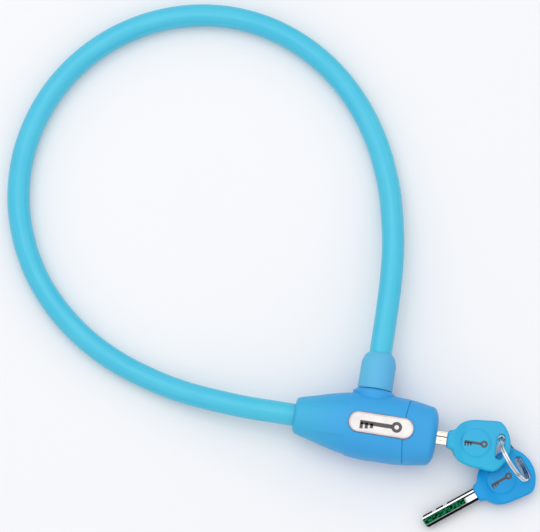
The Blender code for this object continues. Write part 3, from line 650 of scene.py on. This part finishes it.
def rim_edges(bm, height):
    """Edges that lie at a height and part the flat face from the side."""
    found = []
    for edge in bm.edges:
        level = all(abs(vert.co.z - height) < 1e-7 for vert in edge.verts)
        flat = [abs(face.normal.z) > 0.9 for face in edge.link_faces]
        if level and any(flat) and not all(flat):
            found.append(edge)
    return found


def stadium_face(bm, half_length, half_width, height, sides=62):
    straight = half_length - half_width
    verts = bmesh.ops.create_circle(bm, cap_ends=True, segments=sides, radius=half_width)["verts"]
    for vert in verts:
        vert.co.x += math.copysign(straight, vert.co.x)
        vert.co.z = height
    return list({face for vert in verts for face in vert.link_faces})


def carve(obj, cutter, operation="DIFFERENCE"):
    """Applies a Boolean, clears its slivers and takes the cutter away."""
    modifier = obj.modifiers.new("carve", "BOOLEAN")
    modifier.operation = operation
    modifier.solver = "EXACT"
    modifier.object = cutter
    bpy.context.view_layer.update()
    graph = bpy.context.evaluated_depsgraph_get()
    mesh = bpy.data.meshes.new_from_object(obj.evaluated_get(graph))
    bm = bmesh.new()
    bm.from_mesh(mesh)
    bmesh.ops.remove_doubles(bm, verts=bm.verts, dist=SLIVER)
    bmesh.ops.dissolve_degenerate(bm, edges=bm.edges, dist=SLIVER)
    bm.to_mesh(mesh)
    bm.free()
    obj.modifiers.clear()
    obj.data = mesh
    bpy.data.objects.remove(cutter)


# ---- Head -----------------------------------------------------------------------


def smooth_step(value, start, end):
    t = min(1.0, max(0.0, (value - start) / (end - start)))
    return t * t * (3 - 2 * t)


def head_half_size(x, full):
    """Half width or half height of the head at a place along it."""
    if x <= 0.0:
        share = (x + HEAD_CABLE_END) / HEAD_CABLE_END
        half = NECK_RADIUS + (full - NECK_RADIUS) * math.sin(math.pi / 2 * share)
        into_end = NECK_ROUNDING - (x + HEAD_CABLE_END)
        if into_end > 0.0:
            half -= NECK_ROUNDING - math.sqrt(max(0.0, NECK_ROUNDING**2 - into_end**2))
        return half
    past = max(0.0, x - SHOULDER_START) / (HEAD_KEY_END - NOSE_LENGTH - SHOULDER_START)
    half = full * (1.0 - SHOULDER_DROP * min(past, 1.0) ** 2)
    into_nose = (x - (HEAD_KEY_END - NOSE_LENGTH)) / NOSE_LENGTH
    if into_nose > 0.0:
        half -= NOSE_INSET * (1.0 - math.sqrt(max(0.0, 1.0 - into_nose**2)))
    return half


def grip_depth(x, y, z):
    """How far the grip flats at the cable end are sunk at a place."""
    share = min(1.0, abs(z) / HEAD_HALF_HEIGHT)
    end = GRIP_END + 2.0 * MM * (1 - share)
    wide = smooth_step(abs(y), GRIP_LINE - 0.3 * MM, GRIP_LINE + 0.9 * MM)
    start = smooth_step(x, GRIP_START, GRIP_START + 9 * MM)
    stop = 1.0 - smooth_step(x, end, end + 0.8 * MM)
    return GRIP_DEPTH * wide * start * stop


def head_section(bm, x, shrink=0.0):
    """One section of the head; near the seam it bows as the seam does."""
    fullness = min(1.0, max(0.0, (x + HEAD_CABLE_END) / HEAD_CABLE_END))
    power = 2.0 / (2.0 + (HEAD_SQUARENESS - 2.0) * fullness)
    half_width = head_half_size(x, HEAD_HALF_WIDTH) - shrink
    half_height = head_half_size(x, HEAD_HALF_HEIGHT) - shrink
    follow = 1.0 - smooth_step(abs(x - SEAM_X), 0.5 * MM, SEAM_REACH)

    def place(c, s):
        y = half_width * math.copysign(abs(c) ** power, c)
        z = half_height * math.copysign(abs(s) ** power, s)
        depth = grip_depth(x, y, z)
        keep_share = 1.0 - depth / math.hypot(y, z)
        bow = SEAM_RADIUS - math.sqrt(SEAM_RADIUS**2 - y * y)
        low = shrink
        height = max(low, AXIS_HEIGHT + z * keep_share)
        return Vector((x + bow * follow, y * keep_share, height))

    return circle_edges(bm, HEAD_SIDES, place)


def steps_between(start, end, count):
    return [start + (end - start) * i / count for i in range(count + 1)]


def turned_cutter(points, placing):
    return keep("cutter", spin_profile(points), placing, bpy.data.materials.new("cutter"))


def flared_hole(radius, place, inward, rounding):
    """A round hole whose lip is rounded, as a cutter along +X or -X."""
    points = [(0.0, place + inward * 12 * MM), (radius, place + inward * 12 * MM)]
    for i in range(7):
        angle = math.pi / 2 * i / 6
        off = rounding * (1 - math.cos(angle))
        points.append((radius + off, place + inward * rounding * (1 - math.sin(angle))))
    end = place - inward * 2 * MM
    points += [(radius + rounding, end), (0.0, end)]
    return turned_cutter(points, AXIS @ ALONG_X)


def body_pocket():
    """The room for the casting and the cable's end, as a cutter."""
    tail = TAIL_RADIUS + GAP
    body = CASTING_HIGH.y + GAP
    step = TAIL_END - GAP
    points = (
        (0.0, CASTING_LOW.x - GAP),
        (tail, CASTING_LOW.x - GAP),
        (tail, step),
        (body, step),
        (body, CASTING_HIGH.x + GAP),
        (0.0, CASTING_HIGH.x + GAP),
    )
    return turned_cutter(points, AXIS @ ALONG_X)


def plug_passage():
    radius = BUSH_HIGH.x
    end = COVER_HIGH.y + 8 * MM
    points = ((0.0, 0.0), (radius, 0.0), (radius, end), (0.0, end))
    return turned_cutter(points, AXIS @ ALONG_Y)


def badge_recess():
    bm = bmesh.new()
    half_length = (BADGE_HIGH.x - BADGE_LOW.x) / 2 + 0.15 * MM
    face = stadium_face(bm, half_length, BADGE_HIGH.y + 0.15 * MM, BADGE_LOW.z - GAP)
    raise_face(bm, face, 5 * MM)
    middle = Matrix.Translation(((BADGE_LOW.x + BADGE_HIGH.x) / 2, 0.0, 0.0))
    return keep("cutter", bm, middle, bpy.data.materials.new("cutter"))


def finish_shell(obj, look, cutters, body, slot, node):
    for cutter in cutters:
        carve(obj, cutter)
    obj.data.materials.clear()
    obj.data.materials.append(look)
    obj.data.shade_smooth()
    obj.data.set_sharp_from_angle(angle=math.radians(38))
    return settle(obj, body, slot, node)


def make_cover(look):
    """The cover's long half, from the cable's hole to the seam."""
    bm = bmesh.new()
    end = -HEAD_CABLE_END
    round_in = [end + NECK_ROUNDING * (1 - math.cos(math.pi / 2 * i / 6)) for i in range(6)]
    loops = [head_section(bm, x) for x in round_in]
    for x in steps_between(end + NECK_ROUNDING, GRIP_END - MM, 34):
        loops.append(head_section(bm, x))
    for x in steps_between(GRIP_END - 0.7 * MM, GRIP_END + 3.4 * MM, 14):
        loops.append(head_section(bm, x))
    edge = SEAM_X - SEAM_GAP / 2
    for x in steps_between(GRIP_END + 4.2 * MM, edge - SEAM_EDGE, 24):
        loops.append(head_section(bm, x))
    loops.append(head_section(bm, edge, SEAM_EDGE))
    bridge_all(bm, loops)
    close_ends(bm, loops)
    cover = keep("cover_shell", bm, ALONG_Z, look)
    hole = flared_hole(CABLE_HOLE, end, 1, 0.4 * MM)
    cutters = [body_pocket(), hole, plug_passage(), badge_recess()]
    return finish_shell(cover, look, cutters, "head", "cover_blue", "cover_main")


def make_cap(look):
    """The cover's short half, from the seam to the key's end."""
    bm = bmesh.new()
    edge = SEAM_X + SEAM_GAP / 2
    loops = [head_section(bm, edge, SEAM_EDGE)]
    nose = HEAD_KEY_END - NOSE_LENGTH
    for x in steps_between(edge + SEAM_EDGE, nose, 16):
        loops.append(head_section(bm, x))
    for i in range(1, 13):
        loops.append(head_section(bm, nose + NOSE_LENGTH * math.sin(math.pi / 2 * i / 12)))
    bridge_all(bm, loops)
    close_ends(bm, loops)
    cap = keep("cover_nose", bm, ALONG_Z, look)
    cutters = [body_pocket(), flared_hole(FACE_HOLE, HEAD_KEY_END, -1, 0.5 * MM), badge_recess()]
    return finish_shell(cap, look, cutters, "head", "cover_blue", "cover_cap")


def make_boss(look):
    """The plug's socket on the cover's side, with its bead."""
    start = CASTING_HIGH.y + 2 * GAP
    end = COVER_HIGH.y
    width = BOSS_RADIUS
    bead = width + BEAD_RISE
    hole = BUSH_HIGH.x
    points = (
        (hole, start),
        (bead - 0.6 * MM, start),
        (bead, end - 2.5 * MM),
        (bead, end - 0.9 * MM),
        (width + 0.3 * MM, end - 0.5 * MM),
        (width, end),
        (hole, end),
    )
    radii = [0.0, 0.3 * MM, 0.7 * MM, 0.9 * MM, 0.4 * MM, 0.5 * MM, 0.2 * MM]
    bm = spin_profile(rounded(points, radii), ring=True)
    return settle(keep("cover_boss", bm, AXIS @ ALONG_Y, look), "head", "cover_blue")


def make_bush(look):
    inner = 5.3 * MM
    outer = BUSH_HIGH.x
    points = (
        (inner, BUSH_LOW.y),
        (outer, BUSH_LOW.y),
        (outer, BUSH_HIGH.y),
        (inner, BUSH_HIGH.y),
    )
    bm = spin_profile(rounded(points, [0.2 * MM, 0.2 * MM, 0.3 * MM, 0.6 * MM]), ring=True)
    bush = keep("socket_lining", bm, AXIS @ ALONG_Y, look)
    return settle(bush, "head", "rubber", "socket_bush")


def make_badge(look, rim, mark):
    """The stadium plate with a raised rim, and a key printed on it."""
    middle = Vector(((BADGE_LOW.x + BADGE_HIGH.x) / 2, 0.0, 0.0))
    half_length = (BADGE_HIGH.x - BADGE_LOW.x) / 2
    half_width = BADGE_HIGH.y
    bm = bmesh.new()
    base = stadium_face(bm, half_length, half_width, BADGE_LOW.z)
    top = raise_face(bm, base, BADGE_HIGH.z - BADGE_LOW.z)
    edge = bmesh.ops.inset_region(bm, faces=top, thickness=0.4 * MM)["faces"]
    for face in edge:
        face.material_index = 1
    bmesh.ops.inset_region(bm, faces=top, thickness=0.3 * MM)
    bmesh.ops.inset_region(bm, faces=top, thickness=0.2 * MM, depth=-BADGE_SINK)
    bm.normal_update()
    bevel(bm, rim_edges(bm, BADGE_HIGH.z), 0.16 * MM)
    plate = keep("badge_shield", bm, Matrix.Translation(middle), look, 30.0)
    plate.data.materials.append(rim)
    settle(plate, "head", "badge_silver", "badge_plate")
    bm = key_pictogram(BADGE_PICTURE_LENGTH, BADGE_PICTURE_WIDTH, 0.1 * MM)
    face = BADGE_HIGH.z - BADGE_SINK
    placing = Matrix.Translation(middle + Vector((0.0, 0.0, face)))
    return settle(keep("badge_mark", bm, placing, mark), "head", "badge_silver")


def box_between(bm, low, high):
    made = bmesh.ops.create_cube(bm, size=1.0)["verts"]
    low = Vector(low)
    high = Vector(high)
    for vert in made:
        share = vert.co + Vector((0.5, 0.5, 0.5))
        vert.co = Vector(low[i] + (high[i] - low[i]) * share[i] for i in range(3))


def flat_ring(bm, x, outer, inner, height):
    profile = ((inner, 0.0), (outer, 0.0), (outer, height), (inner, height))
    verts = [bm.verts.new((x + radius, 0.0, z)) for radius, z in profile]
    edges = [bm.edges.new(pair) for pair in zip(verts, verts[1:] + verts[:1])]
    bmesh.ops.spin(
        bm,
        geom=verts + edges,
        axis=(0.0, 0.0, 1.0),
        cent=(x, 0.0, 0.0),
        angle=math.tau,
        steps=40,
        use_merge=True,
    )


def key_pictogram(length, width, height):
    """A plain key seen from the side: ring, shaft and three teeth."""
    bm = bmesh.new()
    ring = width / 2
    shaft = width * 0.19
    start = -length / 2
    end = length / 2
    flat_ring(bm, end - ring, ring, ring * 0.42, height)
    tooth = length * 0.075
    base = -0.02 * width
    box_between(bm, (start, base - shaft, 0.0), (end - 1.9 * ring, base + shaft, height))
    for offset, drop in ((0.0, 0.5), (1.6, 0.42), (3.2, 0.3)):
        x = start + offset * tooth
        box_between(bm, (x, base - shaft - drop * width * 0.8, 0.0), (x + tooth, base, height))
    return bm


# ---- Plug -----------------------------------------------------------------------


def make_sleeve(look):
    """The plug's sleeve, tapering onto the cable."""
    outer = SLEEVE_HIGH.x
    inner = outer - SLEEVE_WALL
    low = SLEEVE_LOW.y
    high = SLEEVE_HIGH.y
    shoulder = low + SLEEVE_STRAIGHT
    room_end = low + SLEEVE_ROOM_LENGTH
    hole = CABLE_RADIUS + 0.1 * MM
    points = (
        (inner, low),
        (outer, low),
        (outer, shoulder),
        (outer - 0.35 * MM, shoulder + 2.0 * MM),
        (outer - 1.3 * MM, high - 1.4 * MM),
        (CABLE_RADIUS + 0.5 * MM, high),
        (hole, high),
        (hole, room_end),
        (inner, room_end),
    )
    radii = [0.2 * MM, 0.5 * MM, 0.9 * MM, 0.9 * MM, 0.9 * MM, 0.3 * MM, 0.1 * MM, 0.0, 0.0]
    bm = spin_profile(rounded(points, radii), ring=True)
    sleeve = keep("sleeve_shell", bm, AXIS @ ALONG_Y, look)
    return settle(sleeve, "plug", "sleeve_blue", "plug_sleeve")


def make_pin(look):
    """The plug's pin with its latch groove and its cone."""
    radius = PIN_RADIUS
    groove = GROOVE_RADIUS
    flange = PIN_HIGH.y - FLANGE_THICKNESS
    tip = PIN_LOW.y
    points = (
        (0.0, tip),
        (radius - PIN_POINT, tip),
        (radius, tip + PIN_POINT),
        (radius, GROOVE_START),
        (groove, GROOVE_START),
        (groove, GROOVE_END),
        (radius, GROOVE_END),
        (radius, flange),
        (PIN_HIGH.x, flange),
        (PIN_HIGH.x, PIN_HIGH.y),
        (0.0, PIN_HIGH.y),
    )
    small = 0.25 * MM
    radii = [0.0, 0.6 * MM, 0.6 * MM, small, small, small, small, 0.1 * MM, small, small, 0.0]
    bm = spin_profile(rounded(points, radii))
    return settle(keep("pin_turned", bm, AXIS @ ALONG_Y, look), "plug", "steel", "plug_pin")


# ---- Cable ----------------------------------------------------------------------


def smooth_path(points, step):
    """Evenly spaced places on a smooth curve through the given points."""
    padded = [2 * points[0] - points[1], *points, 2 * points[-1] - points[-2]]
    fine = []
    for a, b, c, d in zip(padded, padded[1:], padded[2:], padded[3:]):
        for i in range(24):
            t = i / 24
            bend = (2 * a - 5 * b + 4 * c - d) * t * t + (3 * b - a - 3 * c + d) * t**3
            fine.append(b + ((c - a) * t + bend) / 2)
    fine.append(points[-1])
    lengths = [0.0]
    for p, q in zip(fine, fine[1:]):
        lengths.append(lengths[-1] + (q - p).length)
    count = max(2, round(lengths[-1] / step))
    places = []
    k = 0
    for i in range(count + 1):
        target = lengths[-1] * i / count
        while k < len(lengths) - 2 and lengths[k + 1] < target:
            k += 1
        share = (target - lengths[k]) / (lengths[k + 1] - lengths[k])
        places.append(fine[k].lerp(fine[k + 1], min(1.0, share)))
    return places, lengths[-1]


def cable_points():
    """The whole route: out of the head, round the loop and into the plug."""
    head_side = (CABLE_START, -HEAD_CABLE_END, -HEAD_CABLE_END - CABLE_STRAIGHT)
    plug_side = (SLEEVE_HIGH.y + CABLE_STRAIGHT, SLEEVE_HIGH.y, CABLE_END)
    start = [Vector((x, 0.0, AXIS_HEIGHT)) for x in head_side]
    end = [Vector((0.0, y, AXIS_HEIGHT)) for y in plug_side]
    return start + [Vector(place) * MM for place in CABLE_ROUTE] + end


def make_cable(look):
    """One tube round the whole route, from the head to the plug."""
    places, length = smooth_path(cable_points(), CABLE_RING_STEP)
    bm = bmesh.new()
    layer = bm.verts.layers.float_vector.new("cable_place")
    loops = []
    for i, place in enumerate(places):
        before = places[max(0, i - 1)]
        after = places[min(len(places) - 1, i + 1)]
        heading = (after - before).normalized()
        side = heading.cross(Vector((0.0, 0.0, 1.0))).normalized()
        up = side.cross(heading)

        def ring_place(c, s, place=place, side=side, up=up):
            return place + (side * c + up * s) * CABLE_RADIUS

        loop = circle_edges(bm, CABLE_SIDES, ring_place)
        for vert in {vert for edge in loop for vert in edge.verts}:
            off = vert.co - place
            vert[layer] = Vector((length * i / len(places), off.dot(side), off.dot(up)))
        loops.append(loop)
    bridge_all(bm, loops)
    close_ends(bm, loops)
    cable = keep("cable_vinyl", bm, ALONG_Z, look)
    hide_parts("cable")
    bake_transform(cable)
    return cable, places, length


# ---- Keys -----------------------------------------------------------------------


def bow_outline():
    """The bow and its collar from above: half is worked out, then mirrored."""
    centre = BOW_END - BOW_END_RADIUS
    top = math.asin(BOW_HALF_WIDTH / BOW_END_RADIUS)
    half = []
    for step in range(25):
        angle = top * step / 24
        half.append((centre + BOW_END_RADIUS * math.cos(angle), BOW_END_RADIUS * math.sin(angle)))
    length = BOW_SHOULDER_END - BOW_START
    rise = BOW_SHOULDER_HALF_WIDTH - COLLAR_RADIUS
    for step in range(21):
        angle = math.pi / 2 * (1 - step / 20)
        x = BOW_SHOULDER_END - length * math.cos(angle)
        half.append((x, COLLAR_RADIUS + rise * math.sin(angle)))
    half += [(COLLAR_START, COLLAR_RADIUS), (COLLAR_START, 0.0)]
    whole = half + [(x, -y) for x, y in reversed(half[1:-1])]
    places = [Vector((x, y, 0.0)) for x, y in whole]
    return soften(even_steps(places + places[:1], BOW_STEPS)[:-1], BOW_SOFTNESS)


def even_steps(places, count):
    """The given chain of places, walked in equal steps."""
    lengths = [0.0]
    for p, q in zip(places, places[1:]):
        lengths.append(lengths[-1] + (q - p).length)
    found = []
    k = 0
    for i in range(count + 1):
        target = lengths[-1] * i / count
        while k < len(lengths) - 2 and lengths[k + 1] < target:
            k += 1
        share = (target - lengths[k]) / (lengths[k + 1] - lengths[k])
        found.append(places[k].lerp(places[k + 1], min(1.0, share)))
    return found


def soften(places, passes):
    """Rounds a closed outline's corners by averaging neighbours."""
    for _ in range(passes):
        before = places[-1:] + places[:-1]
        after = places[1:] + places[:1]
        places = [(a + 2 * b + c) / 4 for a, b, c in zip(before, places, after)]
    return places


def inset_outline(places, distance):
    """Moves a closed outline inwards along its own normals."""
    before = places[-1:] + places[:-1]
    after = places[1:] + places[:1]
    moved = []
    for a, b, c in zip(before, places, after):
        along_it = (c - a).normalized()
        moved.append(b + Vector((-along_it.y, along_it.x, 0.0)) * distance)
    return moved


def plate_half(x):
    """Half the bow's thickness: its plate swells into the collar."""
    collar = COLLAR_HALF_THICKNESS - BOW_THICKNESS / 2
    return BOW_THICKNESS / 2 + collar * (1.0 - smooth_step(x, BOW_START - 0.5 * MM, -17 * MM))


def bow_rings():
    """Closed rings of places over the bow's upper half, from edge to middle."""
    outline = bow_outline()
    centre = Vector((PAD_X, 0.0, 0.0))
    rings = []
    for i in range(7):
        angle = math.pi / 2 * i / 6
        ring = inset_outline(outline, BOW_ROUNDING * (1 - math.cos(angle)))
        sunk = BOW_ROUNDING * (1 - math.sin(angle))
        rings.append([(p, plate_half(p.x) - sunk) for p in ring])
    edge = inset_outline(outline, BOW_ROUNDING)
    toward = [(p - centre).normalized() for p in edge]
    foot = PAD_RADIUS + 0.3 * MM
    for i in range(1, 13):
        ring = [p.lerp(centre + d * foot, i / 12) for p, d in zip(edge, toward)]
        rings.append([(p, plate_half(p.x)) for p in ring])
    for i in range(1, 9):
        share = i / 8
        radius = foot - PAD_SLOPE * share
        lift = PAD_HEIGHT * (3 * share**2 - 2 * share**3)
        rings.append([(centre + d * radius, BOW_THICKNESS / 2 + lift) for d in toward])
    top = BOW_THICKNESS / 2 + PAD_HEIGHT
    for share in (0.8, 0.6):
        radius = (foot - PAD_SLOPE) * share
        rings.append([(centre + d * radius, top) for d in toward])
    return rings


def place_ring(bm, places):
    verts = [bm.verts.new(place) for place in places]
    return [bm.edges.new(pair) for pair in zip(verts, verts[1:] + verts[:1])]


def ring_stack(rings):
    """A closed skin through rings of places, each ring extruded from the last."""
    bm = bmesh.new()
    first = place_ring(bm, rings[0])
    verts = list(bm.verts)
    loop = first
    for places in rings[1:]:
        made = bmesh.ops.extrude_edge_only(bm, edges=loop)["geom"]
        fresh = {item for item in made if isinstance(item, bmesh.types.BMVert)}
        following = []
        for vert, place in zip(verts, places):
            ends = [edge.other_vert(vert) for edge in vert.link_edges]
            following.append(next(end for end in ends if end in fresh))
            following[-1].co = place
        verts = following
        loop = [bm.edges.get(pair) for pair in zip(verts, verts[1:] + verts[:1])]
    close_ends(bm, [first, loop])
    return bm


def slot_cutter(placing):
    """The ring slot with rounded lips, as a cutter across the bow."""
    half = BOW_THICKNESS / 2
    lip = 0.7 * MM
    levels = [(half + 2 * MM, lip)]
    for i in range(7):
        angle = math.pi / 2 * i / 6
        levels.append((half - lip * (1 - math.cos(angle)), lip * (1 - math.sin(angle))))
    levels += [(-height, grow) for height, grow in reversed(levels)]
    rings = [[Vector((x, y, z)) for x, y in slot_outline(grow)] for z, grow in levels]
    return keep("cutter", ring_stack(rings), placing, bpy.data.materials.new("cutter"))


def slot_outline(grow):
    """The ring slot's outline, its length across the key."""
    straight = SLOT_HALF_LENGTH - SLOT_HALF_WIDTH
    radius = SLOT_HALF_WIDTH + grow
    points = []
    for side, start in ((1, 0.0), (-1, math.pi)):
        for step in range(17):
            angle = start + math.pi * step / 16
            points.append((radius * math.cos(angle), side * straight + radius * math.sin(angle)))
    return points


def make_bow(number, placing, look, mark):
    """Moulded bow in one piece: collar, rounded plate, ring slot, raised pads."""
    half = bow_rings()
    rings = [[Vector((p.x, p.y, -z)) for p, z in ring] for ring in half[::-1]]
    rings += [[Vector((p.x, p.y, z)) for p, z in ring] for ring in half]
    bow = keep(f"bow_{number}", ring_stack(rings), placing, look)
    carve(bow, slot_cutter(placing))
    bow.data.shade_smooth()
    bow.data.set_sharp_from_angle(angle=math.radians(40))
    settle(bow, f"key_{number}", "bow_blue", f"key_{number}_bow")
    top = BOW_THICKNESS / 2 + PAD_HEIGHT - 0.02 * MM
    for side, turn in (("top", 0.0), ("under", math.pi)):
        flip = Matrix.Rotation(turn, 4, "X")
        lift = Matrix.Translation((PAD_X, 0.0, top))
        bm = key_pictogram(PICTURE_LENGTH, PICTURE_WIDTH, 0.08 * MM)
        picture = keep(f"mark_{number}_{side}", bm, placing @ flip @ lift, mark)
        settle(picture, f"key_{number}", "bow_blue")
    return bow


def flat_round(radius, flat, steps=56):
    """Points of a circle with one flat side, across the key's axis: (y, z)."""
    reach = math.asin(flat / radius)
    sweep = math.pi + 2 * reach
    points = []
    for step in range(steps + 1):
        angle = reach - sweep * step / steps
        points.append((radius * math.cos(angle), radius * math.sin(angle)))
    return points


def make_blade(number, placing, look):
    """Round blade with one flat, angled cuts along it and a coned tip."""
    end = COLLAR_START + 1.5 * MM
    bm = bmesh.new()
    face = bm.faces.new([bm.verts.new((y, z, 0.0)) for y, z in flat_round(BLADE_RADIUS, BLADE_FLAT)])
    raise_face(bm, [face], end - BLADE_TIP)
    blade = keep(f"blade_{number}", bm, Matrix.Translation((BLADE_TIP, 0.0, 0.0)) @ ACROSS_X, look)
    cone = (
        (0.0, BLADE_TIP),
        (BLADE_RADIUS - BLADE_CHAMFER, BLADE_TIP),
        (BLADE_RADIUS + 0.5 * MM, BLADE_TIP + BLADE_CHAMFER + 0.5 * MM),
        (BLADE_RADIUS + 0.5 * MM, end + MM),
        (0.0, end + MM),
    )
    carve(blade, keep("cone", spin_profile(cone), ALONG_X, look), "INTERSECT")
    wide = 3 * BLADE_RADIUS
    for i, degrees in enumerate(CUT_TURNS):
        start = BLADE_TIP + BLADE_CHAMFER + (i + 0.6) * CUT_PITCH
        turn = Matrix.Rotation(math.radians(180 + degrees), 4, "X")
        bm = bmesh.new()
        low = (start, -wide, BLADE_RADIUS - CUT_DEPTH)
        box_between(bm, low, (start + CUT_LENGTH, wide, wide))
        carve(blade, keep("cut", bm, turn, look))
    blade.data.transform(placing)
    blade.data.shade_smooth()
    blade.data.set_sharp_from_angle(angle=math.radians(25))
    return settle(blade, f"key_{number}", "steel", f"key_{number}_blade")


def make_ring(look):
    """A flat wire wound twice, which crosses from one turn to the other once."""
    corner = 0.28 * MM
    half_width = WIRE_WIDTH / 2
    half_thickness = WIRE_THICKNESS / 2
    box = (
        (-half_width, -half_thickness),
        (half_width, -half_thickness),
        (half_width, half_thickness),
        (-half_width, half_thickness),
    )
    outline = rounded(box, [corner] * 4, 3)
    bm = bmesh.new()
    verts = [bm.verts.new((RING_RADIUS + x, 0.0, z - TURN_PITCH / 2)) for x, z in outline]
    geometry = [bm.faces.new(verts)]
    plain = math.tau - CROSSOVER
    crossing = 12
    stretches = [(plain, 132, 0.0)]
    for i in range(crossing):
        rise = smooth_step(i + 1, 0, crossing) - smooth_step(i, 0, crossing)
        stretches.append((CROSSOVER / crossing, 1, rise * TURN_PITCH))
    stretches.append((plain, 132, 0.0))
    for angle, steps, rise in stretches:
        geometry = bmesh.ops.spin(
            bm,
            geom=geometry,
            axis=(0.0, 0.0, 1.0),
            cent=(0.0, 0.0, 0.0),
            dvec=(0.0, 0.0, rise),
            angle=angle,
            steps=steps,
        )["geom_last"]
    heading = Matrix.Rotation(RING_HEADING, 4, "Z")
    upright = Matrix.Rotation(math.pi / 2 + RING_LEAN, 4, "X")
    start = Matrix.Rotation(CROSSOVER / 2, 4, "Z")
    placing = Matrix.Translation(RING_CENTRE) @ heading @ upright @ start
    ring = keep("ring_wire", bm, placing, look, 60.0)
    return settle(ring, "ring", "ring_steel", "key_ring")


# ---- CAD nodes that stay ----------------------------------------------------------


def paint_nodes(look, *names):
    for name in names:
        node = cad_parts[name]
        node.data.materials.clear()
        node.data.materials.append(look)


def numbered(stem, count):
    return [f"{stem}_{i + 1}" for i in range(count)]


# ---- Whole lock -------------------------------------------------------------------


def main():
    place_camera()
    cable, path, length = make_cable(cable_look())
    lay_floor()
    light_scene()

    cover = cover_look()
    mark = mark_look()
    rubber = rubber_look()
    steel = metal("bright steel", paint(205, 207, 210), paint(180, 182, 186), 0.16, (1.0, 9.0, 9.0))
    zinc = metal("cast zinc", paint(165, 166, 168), paint(140, 141, 144), 0.45, (1.0, 1.0, 1.0), 0.2)
    brass = metal("stamped brass", paint(206, 172, 100), paint(178, 146, 82), 0.3, (1.0, 6.0, 1.0))
    rope = metal("rope wire", paint(170, 172, 175), paint(120, 122, 126), 0.35, (9.0, 1.0, 1.0), 0.3)
    wire = metal("plated wire", paint(225, 226, 228), paint(205, 206, 208), 0.1, (1.0, 1.0, 1.0))

    make_cover(cover)
    make_cap(cover)
    make_boss(cover)
    make_bush(rubber)
    rim = metal("bronze rim", paint(168, 140, 142), paint(140, 112, 116), 0.3, (1.0, 9.0, 1.0))
    make_badge(badge_look(), rim, mark)

    sleeve = make_sleeve(sleeve_look())
    pin = make_pin(steel)

    near = bow_look("bow blue", paint(54, 168, 216), paint(42, 178, 218))
    far = bow_look("bow blue, deeper", paint(4, 172, 226), paint(4, 152, 218))
    placing = Matrix.Translation(KEY_1_SLOT)
    make_bow(1, placing, near, mark)
    make_blade(1, placing, blade_look("steel blade, painted reflections", placing, BRIGHT_PAINTED_REFLECTIONS, 0.0))
    turn = Matrix.Rotation(KEY_2_HEADING, 4, "Z") @ Matrix.Rotation(-KEY_2_RISE, 4, "Y")
    placing = Matrix.Translation(KEY_2_SLOT) @ turn
    make_bow(2, placing, far, mark)
    make_blade(2, placing, blade_look("dark blade, painted reflections, green patch", placing, DARK_PAINTED_REFLECTIONS, 1.0))
    make_ring(wire)

    paint_nodes(zinc, "inner_body", "fixed_ferrule", "core_barrel", "plug_crimp")
    paint_nodes(steel, "core_retainer", "cross_pin", "core_face", "sidebar", "latch_plate")
    paint_nodes(steel, *numbered("spacer", 5))
    paint_nodes(brass, *numbered("disc", 6))
    paint_nodes(rope, "rope_end_head", "rope_end_plug")
    paint_nodes(rubber, "plug_seal")

    [tuple(place) for place in path]


main()
